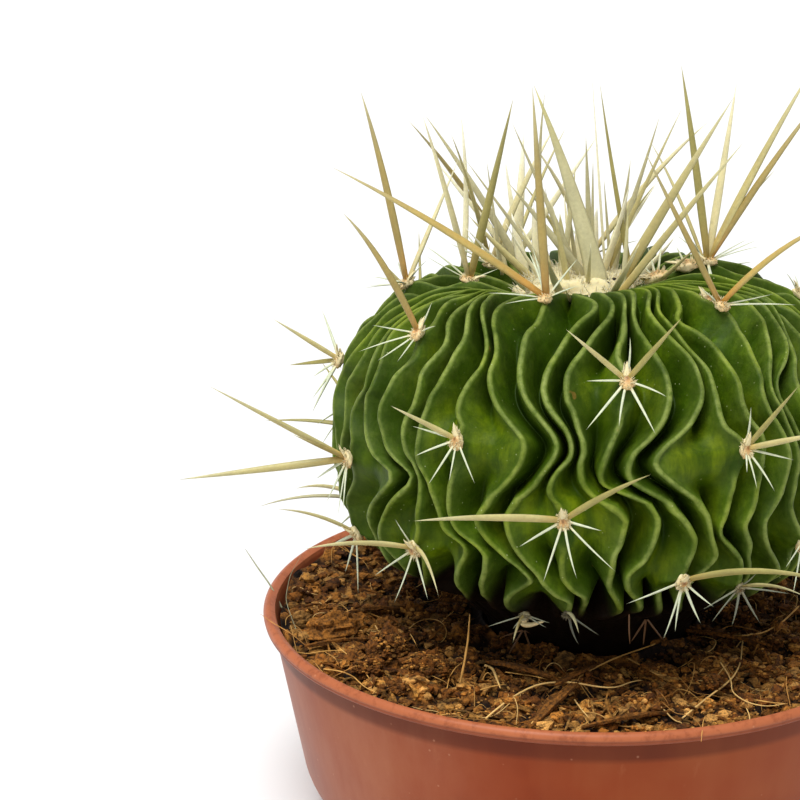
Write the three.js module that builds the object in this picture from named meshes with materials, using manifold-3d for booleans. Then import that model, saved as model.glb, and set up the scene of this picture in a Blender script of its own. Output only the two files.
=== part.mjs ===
// A potted round cactus: a shallow plastic pot, coir soil, a body with thin wavy ribs and a
// spray of spines on each areole. Millimetres and degrees, +Z up. The origin is the middle of
// the pot's flat underside, and the plant's front looks towards -Y.
import * as THREE from 'three';
import { mergeVertices } from 'three/addons/utils/BufferGeometryUtils.js';
import Module from 'manifold-3d';

const wasm = await Module();
wasm.setup();

// Clearance between pieces that lie against each other, and the size below which corners merge
const gap = 0.3;
const mergeDistance = 1e-3;

// Pot
const rimRadius = 55;
const rimHeight = 37;
const lipRadius = 1.1;
const lipOverhang = 1.6;
const wallThickness = 0.9;
const wallTaper = 11.5;
const cornerRadius = 12.5;
const potSides = 48;
const cornerSteps = 2;
const lipSteps = 2;
const drainHoles = 6;
const drainHoleRadius = 3.5;
const drainCircleRadius = 27;

// Soil
const soilDepthBelowRim = 2.6;
const soilHeave = 0.9;
const soilRings = 5;

// Body: a squat ball whose crest line runs from the sunken crown, polar 0, to the neck
const bodyOffset = 1;
const bodyRadius = 43.8;
const equatorHeight = rimHeight + 33;
const crownRise = 27.2;
const underDrop = 26;
const shoulderPower = 0.7;
const crownPower = 0.96;
const haunchPower = 0.46;
const underPower = 0.72;
const neckRadius = 18;
const neckHeight = rimHeight - 1;
const rootRadius = 15;
const rootHeight = rimHeight - 13;
const rootPoint = 0.5;
const dimpleRadius = 13;
const dimpleDepth = 8;

// Ribs
const ribCount = 50;
const ribDepth = 5.6;
const crestShare = 0.11;
const polarFirst = 8;
const polarLast = 158;
const polarRows = 20;
const crownFadeStart = 7;
const crownFadeEnd = 28;
const neckFadeStart = 140;
const spreadByAreole = 0.85;
const spreadAcross = 6.5;
const spreadAlong = 6.5;
const leanAcross = 13;
const leanAlong = 9;
const knobHeight = 0.9;
const knobReach = 4;
const notchDepth = 2.4;
const notchDrop = 5;
const notchReach = 3.5;
const millimetresPerDegree = 0.8;

// Areoles: a felt pad on a crest, with white radial spines and longer tan centrals
const padLength = 2;
const padWidth = 1.5;
const padHeight = 1.1;
const radialClocks = [95, 138, 180, 222, 265, 8];
const radialLength = 8.6;
const radialTilt = 70;
const radialThickness = 0.5;
const centralWidth = 0.9;
const centralWidthGain = 0.026;
const centralFlatness = 0.55;

// Crown tuft
const tuftRadius = 9;
const tuftHeight = 4;
const tuftSpines = 26;
const tuftLength = 30;
const goldenAngle = 137.508;

// Areoles of the front, as azimuth from the front and polar angle from the crown, and the tips of
// their centrals: right, back and up of the areole, then how far the middle bows upwards
const frontAreoles = [
  { azimuth: -30, polar: 74, centrals: [[-10, -3, 5, 0]] },
  { azimuth: -5, polar: 92, centrals: [[-22, -9, 3, 0.5], [12, -6, 10, 0.5]] },
  { azimuth: 8, polar: 51, centrals: [[-9, -3, 9, 0], [8, -2, 10, 0]] },
  { azimuth: 33, polar: 75, centrals: [[8, -1, 10, 0], [12, -4, 4, 0]] },
  { azimuth: 19, polar: 112, centrals: [[24, -10, 4, 2]] },
  { azimuth: -40, polar: 109, centrals: [[-17, -6, 1, 1], [5, -7, -7, 2]] },
  { azimuth: -18, polar: 144, centrals: [[-1, -6, -2, 1]] },
  { azimuth: -55, polar: 46, centrals: [[-12, 3, 19, 2]] },
  { azimuth: -64, polar: 91, centrals: [[-22, -5, 13, 0], [-28, -3, -4, 0], [-9, -5, 4, 0]] },
  { azimuth: -90, polar: 71, centrals: [[-11, 1, 6, 0], [-10, 5, -1, 0]] },
  { azimuth: -70, polar: 121, centrals: [[-11, 0, 5, 1]] },
  { azimuth: -97, polar: 39, centrals: [[-9, 8, 30, 2], [6, 3, 18, 0]] },
  { azimuth: -5, polar: 132, centrals: [[2, -8, 0, 1]] },
  { azimuth: 35, polar: 121, centrals: [[9, -8, 2, 1]] },
  { azimuth: 50, polar: 107, centrals: [[15, -8, 6, 2]] },
  { azimuth: 105, polar: 46, centrals: [[16, 5, 18, 2]] },
  { azimuth: 49, polar: 27, centrals: [[-11, 1, 24, 0], [18, -3, 14, 2]] },
  { azimuth: -25, polar: 18, centrals: [[-34, -3, 21, 1], [-3, 7, 33, 0]] },
  { azimuth: -70, polar: 22, centrals: [[-8, 7, 26, 1], [4, 8, 27, 0]] },
  { azimuth: 108, polar: 18, centrals: [[-5.5, 7, 30.5, 1], [3.5, 9, 27.5, 0], [16, 8, 31, 1], [18, 6, 27, 1]] },
];

// Areoles of the far side, in rows at these polar angles
const backPolars = [24, 46, 68, 90, 110, 130];
const backFirst = 72;
const backLast = 258;
const backSpacing = 53;
const backClearance = 14;
const backCentralClocks = [-42, 46, 0];

const toRadians = THREE.MathUtils.degToRad;
const wrapDegrees = (angle) => THREE.MathUtils.euclideanModulo(angle + 180, 360) - 180;
const bell = (across, along) => Math.exp(-(across * across + along * along) / 2);

// A repeatable draw between 0 and 1
function draw(seed) {
  const value = Math.sin(seed * 12.9898) * 43758.5453;
  return value - Math.floor(value);
}

// ---- Closed skins and solids ----

// A closed skin from rings that run upwards, each counter-clockwise from above, and its two poles
function closedSkin(rings, startPole, endPole) {
  const sides = rings[0].length;
  const points = [...rings.flat(), startPole, endPole];
  const startIndex = points.length - 2;
  const endIndex = points.length - 1;
  const faces = [];
  for (let side = 0; side < sides; side += 1) {
    const next = (side + 1) % sides;
    const top = (rings.length - 1) * sides;
    faces.push(startIndex, next, side, endIndex, top + side, top + next);
    for (let ring = 0; ring < rings.length - 1; ring += 1) {
      const low = ring * sides;
      const high = low + sides;
      faces.push(low + side, low + next, high + next, low + side, high + next, high + side);
    }
  }
  const geometry = new THREE.BufferGeometry().setFromPoints(points);
  geometry.setIndex(faces);
  return geometry;
}

function toSolid(geometry) {
  const bare = geometry.clone();
  bare.deleteAttribute('normal');
  bare.deleteAttribute('uv');
  const merged = mergeVertices(bare, mergeDistance);
  return new wasm.Manifold(new wasm.Mesh({
    numProp: 3,
    vertProperties: new Float32Array(merged.attributes.position.array),
    triVerts: new Uint32Array(merged.index.array),
  }));
}

function toGeometry(solid) {
  const mesh = solid.getMesh();
  const geometry = new THREE.BufferGeometry();
  geometry.setAttribute('position', new THREE.BufferAttribute(new Float32Array(mesh.vertProperties), 3));
  geometry.setIndex(new THREE.BufferAttribute(new Uint32Array(mesh.triVerts), 1));
  geometry.computeVertexNormals();
  return geometry;
}

// The largest piece of a solid, with loose scraps dropped and sealed hollows filled
function largestPiece(solid) {
  const pieces = toSolid(toGeometry(solid)).decompose();
  return pieces.reduce((best, piece) => (piece.volume() > best.volume() ? piece : best));
}

function joined(solids) {
  return solids.reduce((whole, solid) => whole.add(solid));
}

// ---- Pot ----

const taper = toRadians(wallTaper);
const wallTopRadius = rimRadius - lipOverhang;
const wallTopHeight = rimHeight - 2 * lipRadius;
const baseRadius = wallTopRadius - cornerRadius * Math.cos(taper)
  - (wallTopHeight - cornerRadius + cornerRadius * Math.sin(taper)) * Math.tan(taper);

// The pot's outside, moved inwards by an inset: rounded corner first, then the wall up to a height
function wallOutline(inset, topHeight) {
  const radius = cornerRadius - inset;
  const corner = new THREE.Path();
  corner.absarc(baseRadius, cornerRadius, radius, -Math.PI / 2, -taper, false);
  const points = corner.getPoints(cornerSteps);
  const end = points[points.length - 1];
  points.push(new THREE.Vector2(end.x + (topHeight - end.y) * Math.tan(taper), topHeight));
  return points;
}

function wallRadius(inset, height) {
  return wallOutline(inset, height).pop().x;
}

function lipOutline() {
  const lip = new THREE.Path();
  const middle = new THREE.Vector2(rimRadius - lipRadius, rimHeight - lipRadius);
  lip.absarc(middle.x, middle.y, lipRadius, -Math.PI / 2, Math.PI / 2, false);
  const innerEdge = new THREE.Vector2(rimRadius - lipRadius - wallThickness, rimHeight - lipRadius / 2);
  return [...lip.getPoints(lipSteps), innerEdge];
}

function potGeometry() {
  const outside = wallOutline(0, wallTopHeight);
  const inside = wallOutline(wallThickness, wallTopHeight).reverse();
  const profile = [new THREE.Vector2(0, 0), ...outside, ...lipOutline(), ...inside,
    new THREE.Vector2(0, wallThickness)];
  const turned = new THREE.LatheGeometry(profile, potSides);
  turned.rotateX(Math.PI / 2);
  let pot = toSolid(turned);
  for (let hole = 0; hole < drainHoles; hole += 1) {
    const turn = (hole / drainHoles) * 2 * Math.PI;
    const drill = new THREE.CylinderGeometry(drainHoleRadius, drainHoleRadius, 4 * wallThickness, 12);
    drill.rotateX(Math.PI / 2);
    drill.translate(drainCircleRadius * Math.cos(turn), drainCircleRadius * Math.sin(turn), 0);
    pot = pot.subtract(toSolid(drill));
  }
  return toGeometry(pot);
}

// ---- Soil ----

const soilHoleRadius = neckRadius + 1.4 * gap;
const soilHoleFloor = rootHeight - rootPoint - gap;

function circle(radius, height, middle = 0) {
  return Array.from({ length: potSides }, (_, side) => {
    const turn = (side / potSides) * 2 * Math.PI;
    return new THREE.Vector3(middle + radius * Math.sin(turn), -radius * Math.cos(turn), height);
  });
}

// The soil's lumpy top, lower at the left and close to the plant
function soilHeight(x, y) {
  const lumps = Math.sin(x * 0.31 + 1.3) * Math.cos(y * 0.27) + 0.6 * Math.sin(x * 0.13 - y * 0.49);
  const left = 0.022 * Math.min(0, x + 10);
  return rimHeight - soilDepthBelowRim + soilHeave * lumps + left;
}

function soilGeometry() {
  const inset = wallThickness + gap;
  const level = rimHeight - soilDepthBelowRim;
  const wall = wallOutline(inset, level).slice(0, -1).map((point) => circle(point.x, point.y));
  const top = Array.from({ length: soilRings }, (_, ring) => {
    const share = ring / (soilRings - 1);
    const radius = THREE.MathUtils.lerp(wallRadius(inset, level), soilHoleRadius, share);
    return circle(radius, 0, bodyOffset * share).map((point) => point.setZ(soilHeight(point.x, point.y)));
  });
  top[0].forEach((point) => {
    const reach = wallRadius(inset, point.z) / wallRadius(inset, level);
    point.multiply(new THREE.Vector3(reach, reach, 1));
  });
  const hole = circle(soilHoleRadius, soilHoleFloor, bodyOffset);
  return closedSkin([...wall, ...top, hole],
    new THREE.Vector3(0, 0, inset), new THREE.Vector3(bodyOffset, 0, soilHoleFloor));
}

// ---- Body ----

function crestLine(polar) {
  const sine = Math.sin(toRadians(polar));
  const cosine = Math.cos(toRadians(polar));
  const upper = cosine > 0;
  const radius = bodyRadius * sine ** (upper ? shoulderPower : haunchPower);
  const rise = upper ? crownRise * cosine ** crownPower : -underDrop * (-cosine) ** underPower;
  const sunk = dimpleDepth * Math.exp(-((radius / dimpleRadius) ** 2));
  return { radius, height: equatorHeight + rise - sunk };
}

// Azimuth of a rib's line, in degrees: spread apart round each areole and leaning to meet it
function ribAzimuth(rib, polar) {
  const straight = (rib * 360) / ribCount;
  const { radius } = crestLine(polar);
  const millimetres = toRadians(1) * radius;
  let moved = 0;
  for (const areole of areoles) {
    const across = wrapDegrees(straight - areole.ribAzimuth) * millimetres;
    const along = (polar - areole.polar) * millimetresPerDegree;
    moved += spreadByAreole * across * bell(across / spreadAcross, along / spreadAlong);
    moved += areole.lean * bell(across / leanAcross, along / leanAlong);
  }
  return straight + moved / millimetres;
}

// How far a crest stands out or drops along its own areoles' pads
function crestSwell(rib, polar) {
  let swell = 0;
  for (const areole of areoles) {
    const across = Math.abs(wrapDegrees(((rib - areole.rib) * 360) / ribCount));
    if (across < 180 / ribCount) {
      const along = (polar - areole.polar) * millimetresPerDegree;
      swell += knobHeight * bell(0, along / knobReach);
      swell -= notchDepth * bell(0, (along - notchDrop) / notchReach);
    }
  }
  return swell;
}

function valleyDepth(polar) {
  const { radius } = crestLine(polar);
  const crown = THREE.MathUtils.smoothstep(radius, crownFadeStart, crownFadeEnd);
  const neck = 1 - THREE.MathUtils.smoothstep(polar, neckFadeStart, polarLast + 4);
  return ribDepth * crown * neck;
}

// A point on the ribbed skin with the crest line's outward direction there
function skinFrame(rib, polar) {
  const here = crestLine(polar);
  const above = crestLine(polar - 1);
  const below = crestLine(polar + 1);
  const turn = toRadians(ribAzimuth(rib, polar));
  const outwards = new THREE.Vector3(Math.sin(turn), -Math.cos(turn), 0);
  const side = new THREE.Vector3(Math.cos(turn), Math.sin(turn), 0);
  const up = outwards.clone().multiplyScalar(above.radius - below.radius);
  up.z = above.height - below.height;
  up.normalize();
  const normal = side.clone().cross(up);
  const point = new THREE.Vector3(bodyOffset, 0, here.height).addScaledVector(outwards, here.radius);
  return { point, side, up, normal };
}

function crestPoint(rib, polar, shift) {
  const { point, normal } = skinFrame(rib + shift, polar);
  return point.addScaledVector(normal, crestSwell(rib, polar));
}

function valleyPoint(rib, polar) {
  const { point, normal } = skinFrame(rib + 0.5, polar);
  return point.addScaledVector(normal, -valleyDepth(polar));
}

function bodyRing(polar) {
  const ring = [];
  for (let rib = 0; rib < ribCount; rib += 1) {
    ring.push(crestPoint(rib, polar, -crestShare), crestPoint(rib, polar, crestShare));
    ring.push(valleyPoint(rib, polar));
  }
  return ring;
}

function neckRing(radius, height) {
  return bodyRing(polarLast).map((point) => {
    const outwards = new THREE.Vector2(point.x - bodyOffset, point.y).setLength(radius);
    return new THREE.Vector3(bodyOffset + outwards.x, outwards.y, height);
  });
}

function bodyGeometry() {
  const rings = [];
  for (let row = 0; row < polarRows; row += 1) {
    rings.push(bodyRing(THREE.MathUtils.lerp(polarLast, polarFirst, row / (polarRows - 1))));
  }
  const crown = new THREE.Vector3(bodyOffset, 0, crestLine(0.5).height);
  const root = new THREE.Vector3(bodyOffset, 0, rootHeight - rootPoint);
  const neck = [neckRing(rootRadius, rootHeight), neckRing(neckRadius, neckHeight)];
  return closedSkin([...neck, ...rings], root, crown);
}

// The body grown by the clearance: each corner moves until all its faces have moved that far
function grownBody() {
  const geometry = bodyGeometry();
  const position = geometry.attributes.position;
  const index = geometry.index;
  const faceNormals = Array.from({ length: position.count }, () => []);
  const triangle = new THREE.Triangle();
  for (let face = 0; face < index.count; face += 3) {
    const corners = [index.getX(face), index.getX(face + 1), index.getX(face + 2)];
    triangle.setFromAttributeAndIndices(position, ...corners);
    const normal = triangle.getNormal(new THREE.Vector3());
    corners.forEach((corner) => faceNormals[corner].push(normal));
  }
  faceNormals.forEach((normals, corner) => {
    const mean = normals.reduce((sum, normal) => sum.add(normal), new THREE.Vector3()).normalize();
    const steepest = Math.min(...normals.map((normal) => normal.dot(mean)));
    const point = new THREE.Vector3().fromBufferAttribute(position, corner);
    point.addScaledVector(mean, (gap * 1.1) / Math.max(steepest, 0.3));
    position.setXYZ(corner, point.x, point.y, point.z);
  });
  return toSolid(geometry);
}

// ---- Spines ----

// A three-sided needle from a root to a tip, its middle bowed by a vector, wide side to one way
function needle(root, tip, bow, width, thickness, steps) {
  const middle = root.clone().lerp(tip, 0.5).add(bow);
  const curve = new THREE.QuadraticBezierCurve3(root, middle, tip);
  const flat = new THREE.Vector3(0, 0, 1);
  const rings = [];
  for (let step = 0; step < steps; step += 1) {
    const share = step / steps;
    const along = curve.getTangent(share);
    const across = along.clone().cross(flat).normalize();
    const over = across.clone().cross(along);
    const size = 1 - share ** 1.6;
    rings.push([90, 210, 330].map((angle) => curve.getPoint(share)
      .addScaledVector(across, -Math.cos(toRadians(angle)) * size * width * 0.58)
      .addScaledVector(over, Math.sin(toRadians(angle)) * size * thickness * 0.67)));
  }
  return toSolid(closedSkin(rings, root, tip));
}

// A direction at a clock angle round the areole's outward normal, 0 towards the crown
function sprayDirection(frame, clock, tilt) {
  const flat = frame.up.clone().multiplyScalar(Math.cos(toRadians(clock)))
    .addScaledVector(frame.side, Math.sin(toRadians(clock)));
  flat.multiplyScalar(Math.sin(toRadians(tilt)));
  return flat.addScaledVector(frame.normal, Math.cos(toRadians(tilt)));
}

function radialNeedles(areole, frame, root) {
  return radialClocks.map((clock, number) => {
    const seed = areole.seed + number;
    const turned = clock + 22 * (draw(seed) - 0.5);
    const direction = sprayDirection(frame, turned, radialTilt + 8 * (draw(seed + 50) - 0.5));
    const length = radialLength * (0.8 + 0.35 * draw(seed + 90)) * (clock < 90 ? 0.6 : 1);
    const tip = root.clone().addScaledVector(direction, length);
    return needle(root, tip, new THREE.Vector3(), radialThickness, radialThickness, 1);
  });
}

function centralNeedles(areole, root) {
  return areole.centrals.map(([right, back, up, bow]) => {
    const offset = new THREE.Vector3(right, back, up);
    const width = centralWidth + centralWidthGain * offset.length();
    const tip = root.clone().add(offset);
    const steps = bow > 1 ? 3 : 2;
    return needle(root, tip, new THREE.Vector3(0, 0, 2 * bow), width, width * centralFlatness, steps);
  });
}

function feltPad(frame) {
  const pad = new THREE.SphereGeometry(1, 6, 3);
  const axes = new THREE.Matrix4().makeBasis(
    frame.side.clone().multiplyScalar(padWidth),
    frame.up.clone().multiplyScalar(padLength),
    frame.normal.clone().multiplyScalar(padHeight));
  pad.applyMatrix4(axes.setPosition(frame.seat));
  return toSolid(pad);
}

function areoleFrame(areole) {
  const frame = skinFrame(areole.rib, areole.polar);
  const lift = crestSwell(areole.rib, areole.polar) + gap;
  frame.seat = frame.point.clone().addScaledVector(frame.normal, lift + padHeight * 0.3);
  return frame;
}

function sprayGeometry(areole, body) {
  const frame = areoleFrame(areole);
  const root = frame.seat.clone();
  const pieces = [feltPad(frame), ...radialNeedles(areole, frame, root), ...centralNeedles(areole, root)];
  return toGeometry(largestPiece(joined(pieces).subtract(body)));
}

// The crown's wool with its upright spines, which lean out from the middle
function tuftGeometry(body) {
  const wool = new THREE.SphereGeometry(1, 12, 4);
  wool.rotateX(Math.PI / 2);
  wool.scale(tuftRadius, tuftRadius, tuftHeight);
  const floor = new THREE.Vector3(bodyOffset, 0, crestLine(3).height);
  wool.translate(floor.x, floor.y, floor.z);
  const pieces = [toSolid(wool)];
  for (let number = 0; number < tuftSpines; number += 1) {
    const share = Math.sqrt((number + 0.5) / tuftSpines);
    const turn = toRadians(number * goldenAngle);
    const outwards = new THREE.Vector3(Math.cos(turn), Math.sin(turn), 0);
    const root = floor.clone().addScaledVector(outwards, share * tuftRadius * 0.8);
    const lean = toRadians(6 + 40 * share * (0.6 + 0.6 * draw(number + 300)));
    const length = tuftLength * (0.62 + 0.5 * draw(number + 340));
    const tip = root.clone().addScaledVector(outwards, Math.sin(lean) * length);
    tip.z += Math.cos(lean) * length;
    const width = centralWidth + centralWidthGain * length;
    const bow = outwards.clone().multiplyScalar(1.5 * (draw(number + 380) - 0.5));
    pieces.push(needle(root, tip, bow, width, width * centralFlatness, 2));
  }
  return toGeometry(largestPiece(joined(pieces).subtract(body)));
}

// ---- Areoles ----

// A seeded central spine of a far-side areole, as the same four numbers that the front ones have
function backCentral(azimuth, polar, seed, clock) {
  const turn = toRadians(azimuth);
  const slope = toRadians(polar);
  const side = new THREE.Vector3(Math.cos(turn), Math.sin(turn), 0);
  const inwards = new THREE.Vector3(-Math.sin(turn), Math.cos(turn), 0);
  const up = inwards.multiplyScalar(Math.cos(slope)).setZ(Math.sin(slope));
  const frame = { side, up, normal: side.clone().cross(up) };
  const length = THREE.MathUtils.lerp(11, 26, draw(seed)) + (polar < 60 ? 6 : 0);
  const turned = clock + 24 * (draw(seed + 1) - 0.5);
  const tip = sprayDirection(frame, turned, 38 + 14 * draw(seed + 2)).multiplyScalar(length);
  return [tip.x, tip.y, Math.max(tip.z, -3), length > 18 ? 1.5 : 0];
}

function backAreoles() {
  const found = [];
  backPolars.forEach((polar, row) => {
    const first = backFirst + (row % 2) * backSpacing * 0.5;
    for (let azimuth = first; azimuth < backLast; azimuth += backSpacing) {
      const seed = 20 * row + azimuth;
      const place = {
        azimuth: azimuth + 12 * (draw(seed) - 0.5),
        polar: polar + 8 * (draw(seed + 7) - 0.5),
      };
      if (frontAreoles.every((other) => spacing(place, other) > backClearance)) {
        const clocks = backCentralClocks.slice(0, 1 + Math.round(1.7 * draw(seed + 3)));
        place.centrals = clocks.map((clock, number) => (
          backCentral(place.azimuth, place.polar, seed + 10 * number, clock)));
        found.push(place);
      }
    }
  });
  return found;
}

function spacing(place, other) {
  const { radius } = crestLine((place.polar + other.polar) / 2);
  const across = toRadians(wrapDegrees(place.azimuth - other.azimuth)) * radius;
  return Math.hypot(across, (place.polar - other.polar) * millimetresPerDegree);
}

function onRib(place, number) {
  const rib = Math.round((place.azimuth * ribCount) / 360);
  const ribAzimuthHere = (rib * 360) / ribCount;
  const lean = toRadians(place.azimuth - ribAzimuthHere) * crestLine(place.polar).radius;
  return { ...place, rib, ribAzimuth: ribAzimuthHere, lean, seed: 7 * number + 1 };
}

const areoles = [...frontAreoles, ...backAreoles()].map(onRib);

// ---- The plant in its pot ----

const plastic = new THREE.MeshStandardMaterial({ color: 0xa9573a, roughness: 0.5, metalness: 0 });
const earth = new THREE.MeshStandardMaterial({ color: 0x6b4423, roughness: 1, metalness: 0 });
const flesh = new THREE.MeshStandardMaterial({ color: 0x4a6b24, roughness: 0.55, metalness: 0 });
const thorn = new THREE.MeshStandardMaterial({ color: 0xd9bf86, roughness: 0.6, metalness: 0 });
const wool = new THREE.MeshStandardMaterial({ color: 0xe6ddbd, roughness: 0.9, metalness: 0 });

const plant = new THREE.Group();

function addPiece(name, geometry, material) {
  const mesh = new THREE.Mesh(geometry, material);
  mesh.name = name;
  plant.add(mesh);
}

const clearOfBody = grownBody();
addPiece('pot', potGeometry(), plastic);
addPiece('soil', soilGeometry(), earth);
addPiece('cactus_body', bodyGeometry(), flesh);
addPiece('crown_spines', tuftGeometry(clearOfBody), wool);
areoles.forEach((areole, number) => {
  addPiece(`spines_${String(number + 1).padStart(2, '0')}`, sprayGeometry(areole, clearOfBody), thorn);
});

export default plant;
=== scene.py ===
import math

import bpy
import numpy as np
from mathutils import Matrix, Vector, noise


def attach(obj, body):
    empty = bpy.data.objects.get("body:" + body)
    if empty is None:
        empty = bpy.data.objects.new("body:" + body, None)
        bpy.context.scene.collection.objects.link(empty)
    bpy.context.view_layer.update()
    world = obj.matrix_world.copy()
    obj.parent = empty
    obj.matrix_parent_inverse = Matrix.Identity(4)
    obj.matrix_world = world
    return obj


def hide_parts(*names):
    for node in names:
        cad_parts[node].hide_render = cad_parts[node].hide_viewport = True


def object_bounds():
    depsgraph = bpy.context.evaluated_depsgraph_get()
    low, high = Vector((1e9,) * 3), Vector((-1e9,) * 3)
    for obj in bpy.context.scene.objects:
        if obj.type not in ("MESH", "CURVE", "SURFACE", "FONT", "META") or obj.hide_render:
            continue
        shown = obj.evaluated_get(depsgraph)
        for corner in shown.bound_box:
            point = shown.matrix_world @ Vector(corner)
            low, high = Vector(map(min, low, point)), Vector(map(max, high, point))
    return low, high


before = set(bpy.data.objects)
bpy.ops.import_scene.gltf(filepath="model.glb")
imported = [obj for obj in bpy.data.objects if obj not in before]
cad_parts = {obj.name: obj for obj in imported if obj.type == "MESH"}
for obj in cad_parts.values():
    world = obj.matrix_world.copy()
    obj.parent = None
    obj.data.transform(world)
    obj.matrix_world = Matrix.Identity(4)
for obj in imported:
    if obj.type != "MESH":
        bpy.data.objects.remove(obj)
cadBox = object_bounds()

# Everything below is reckoned in millimetres and degrees, as the part's source is, and
# becomes metres where a mesh is made.
mm = 0.001


# Camera

shot = {
    "eye": (0, -417.877, 203.970),
    "turn": 4.327,  # towards -X
    "dip": 17.434,  # below the horizon
    "lens": 117.09,
    "sensor": 36,
    "picture": 800,  # pixels a side
}
bpy.ops.object.camera_add(location=[value * mm for value in shot["eye"]])
camera = bpy.context.object
camera.name = "camera"
camera.rotation_euler = (math.radians(90 - shot["dip"]), 0, math.radians(shot["turn"]))
camera.data.lens = shot["lens"]
camera.data.sensor_width = shot["sensor"]
camera.data.clip_start, camera.data.clip_end = 0.02, 20
bpy.context.scene.camera = camera

eye = np.array(shot["eye"], float)
turned, dipped = math.radians(shot["turn"]), math.radians(shot["dip"])
ahead = np.array([-math.sin(turned) * math.cos(dipped), math.cos(turned) * math.cos(dipped),
                  -math.sin(dipped)])
rightwards = np.array([math.cos(turned), math.sin(turned), 0])
upwards = np.cross(rightwards, ahead)
focal = shot["lens"] / shot["sensor"] * shot["picture"]
centrePixel = shot["picture"] / 2


def rayThrough(pixel):  # direction from the eye through a pixel
    right, rise = (pixel[0] - centrePixel) / focal, (centrePixel - pixel[1]) / focal
    return ahead + right * rightwards + rise * upwards


def pixelOf(points):
    sight = points - eye
    depth = sight @ ahead
    return np.stack([centrePixel + focal * (sight @ rightwards) / depth,
                     centrePixel - focal * (sight @ upwards) / depth], -1)


def pointAtDepth(pixel, y):  # where the ray through a pixel crosses a plane of constant y
    ray = rayThrough(pixel)
    return eye + ray * ((y - eye[1]) / ray[1])


def pointAtHeight(pixel, z):
    ray = rayThrough(pixel)
    return eye + ray * ((z - eye[2]) / ray[2])


# Small helpers

def draw(seed):  # a repeatable number between 0 and 1
    value = np.sin(np.asarray(seed, float) * 12.9898) * 43758.5453
    return value - np.floor(value)


def unit(vector):
    return vector / np.linalg.norm(vector, axis=-1, keepdims=True)


def smoothStep(value, low, high):
    share = np.clip((value - low) / (high - low), 0, 1)
    return share * share * (3 - 2 * share)


def bell(across, along):
    return np.exp(-(across * across + along * along) / 2)


def noiseAt(points, size=1.0):  # smooth noise at each point, with lumps of this size
    return np.array([noise.noise(Vector(place) / size) for place in points])


def wrapDegrees(angle):
    return (np.asarray(angle, float) + 180) % 360 - 180


def linear(red, green, blue):  # picture colour, 0 to 255, as light
    return np.array([(channel / 255 / 12.92 if channel <= 10 else ((channel / 255 + 0.055) / 1.055) ** 2.4)
                     for channel in (red, green, blue)])


def deselectAll():
    if bpy.context.object and bpy.context.object.mode != "OBJECT":
        bpy.ops.object.mode_set(mode="OBJECT")
    bpy.ops.object.select_all(action="DESELECT")


def readShape(model):  # points and triangles of a modelled shape, whose object then goes
    mesh = model.data
    mesh.calc_loop_triangles()
    points = np.empty(len(mesh.vertices) * 3)
    mesh.vertices.foreach_get("co", points)
    corners = np.empty(len(mesh.loop_triangles) * 3, int)
    mesh.loop_triangles.foreach_get("vertices", corners)
    bpy.data.objects.remove(model)
    return points.reshape(-1, 3), corners.reshape(-1, 3)


def tubeShape(sides, steps):  # a unit spine: a disc extruded upwards step by step, closed to a point
    deselectAll()
    bpy.ops.mesh.primitive_circle_add(vertices=sides, radius=1, fill_type="NGON")
    bpy.ops.object.mode_set(mode="EDIT")
    bpy.ops.mesh.select_all(action="SELECT")
    for step in range(steps):
        bpy.ops.mesh.extrude_region_move(TRANSFORM_OT_translate={"value": (0, 0, 1 / steps)})
    bpy.ops.mesh.merge(type="CENTER")
    bpy.ops.mesh.select_all(action="SELECT")
    bpy.ops.mesh.normals_make_consistent(inside=False)
    bpy.ops.object.mode_set(mode="OBJECT")
    return readShape(bpy.context.object)


def ballShape(subdivisions):
    deselectAll()
    bpy.ops.mesh.primitive_ico_sphere_add(subdivisions=subdivisions, radius=1)
    return readShape(bpy.context.object)


def newPile():  # copies that are gathered into one mesh
    return {"points": [], "faces": [], "tints": [], "count": 0}


def addCopy(pile, shape, points, tint):
    pile["points"].append(points)
    pile["faces"].append(shape[1] + pile["count"])
    pile["tints"].append(np.broadcast_to(tint, points.shape))
    pile["count"] += len(points)


def tintPoints(piece, tints):
    layer = piece.data.attributes.new("tint", "FLOAT_COLOR", "POINT")
    layer.data.foreach_set("color", np.concatenate([tints, np.ones((len(tints), 1))], 1).ravel())


def pilePiece(name, pile, finish, smooth=True):
    points, faces = np.concatenate(pile["points"]) * mm, np.concatenate(pile["faces"])
    mesh = bpy.data.meshes.new(name)
    mesh.from_pydata(points.tolist(), [], faces.tolist())
    if smooth:
        mesh.shade_smooth()
    mesh.materials.append(finish)
    piece = bpy.data.objects.new(name, mesh)
    bpy.context.collection.objects.link(piece)
    tintPoints(piece, np.concatenate(pile["tints"]))
    return piece


def rolledGrid(name, rings):  # a flat grid, rolled into rings round the plant
    rows, width = rings.shape[:2]
    deselectAll()
    bpy.ops.mesh.primitive_grid_add(x_subdivisions=width, y_subdivisions=rows - 1, size=0.1)
    piece = bpy.context.object
    piece.name = piece.data.name = name
    closed = np.concatenate([rings, rings[:, :1]], 1)
    piece.data.vertices.foreach_set("co", (closed * mm).ravel())
    return piece


def weldGrid(piece, distance, finish):  # closes the seam and both ends of a rolled grid
    bpy.ops.object.mode_set(mode="EDIT")
    bpy.ops.mesh.select_all(action="SELECT")
    bpy.ops.mesh.remove_doubles(threshold=distance * mm)
    bpy.ops.mesh.normals_make_consistent(inside=False)
    bpy.ops.object.mode_set(mode="OBJECT")
    bpy.ops.object.shade_smooth()
    piece.data.materials.append(finish)


def markPoints(piece, name, values):
    layer = piece.data.attributes.new(name, "FLOAT", "POINT")
    layer.data.foreach_set("value", np.asarray(values, float).ravel())


def seat(piece, slotName, *nodes):  # rides on the part's one body and stands for its solids
    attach(piece, "root")
    if nodes:
        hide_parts(*nodes)


# Materials

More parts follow.
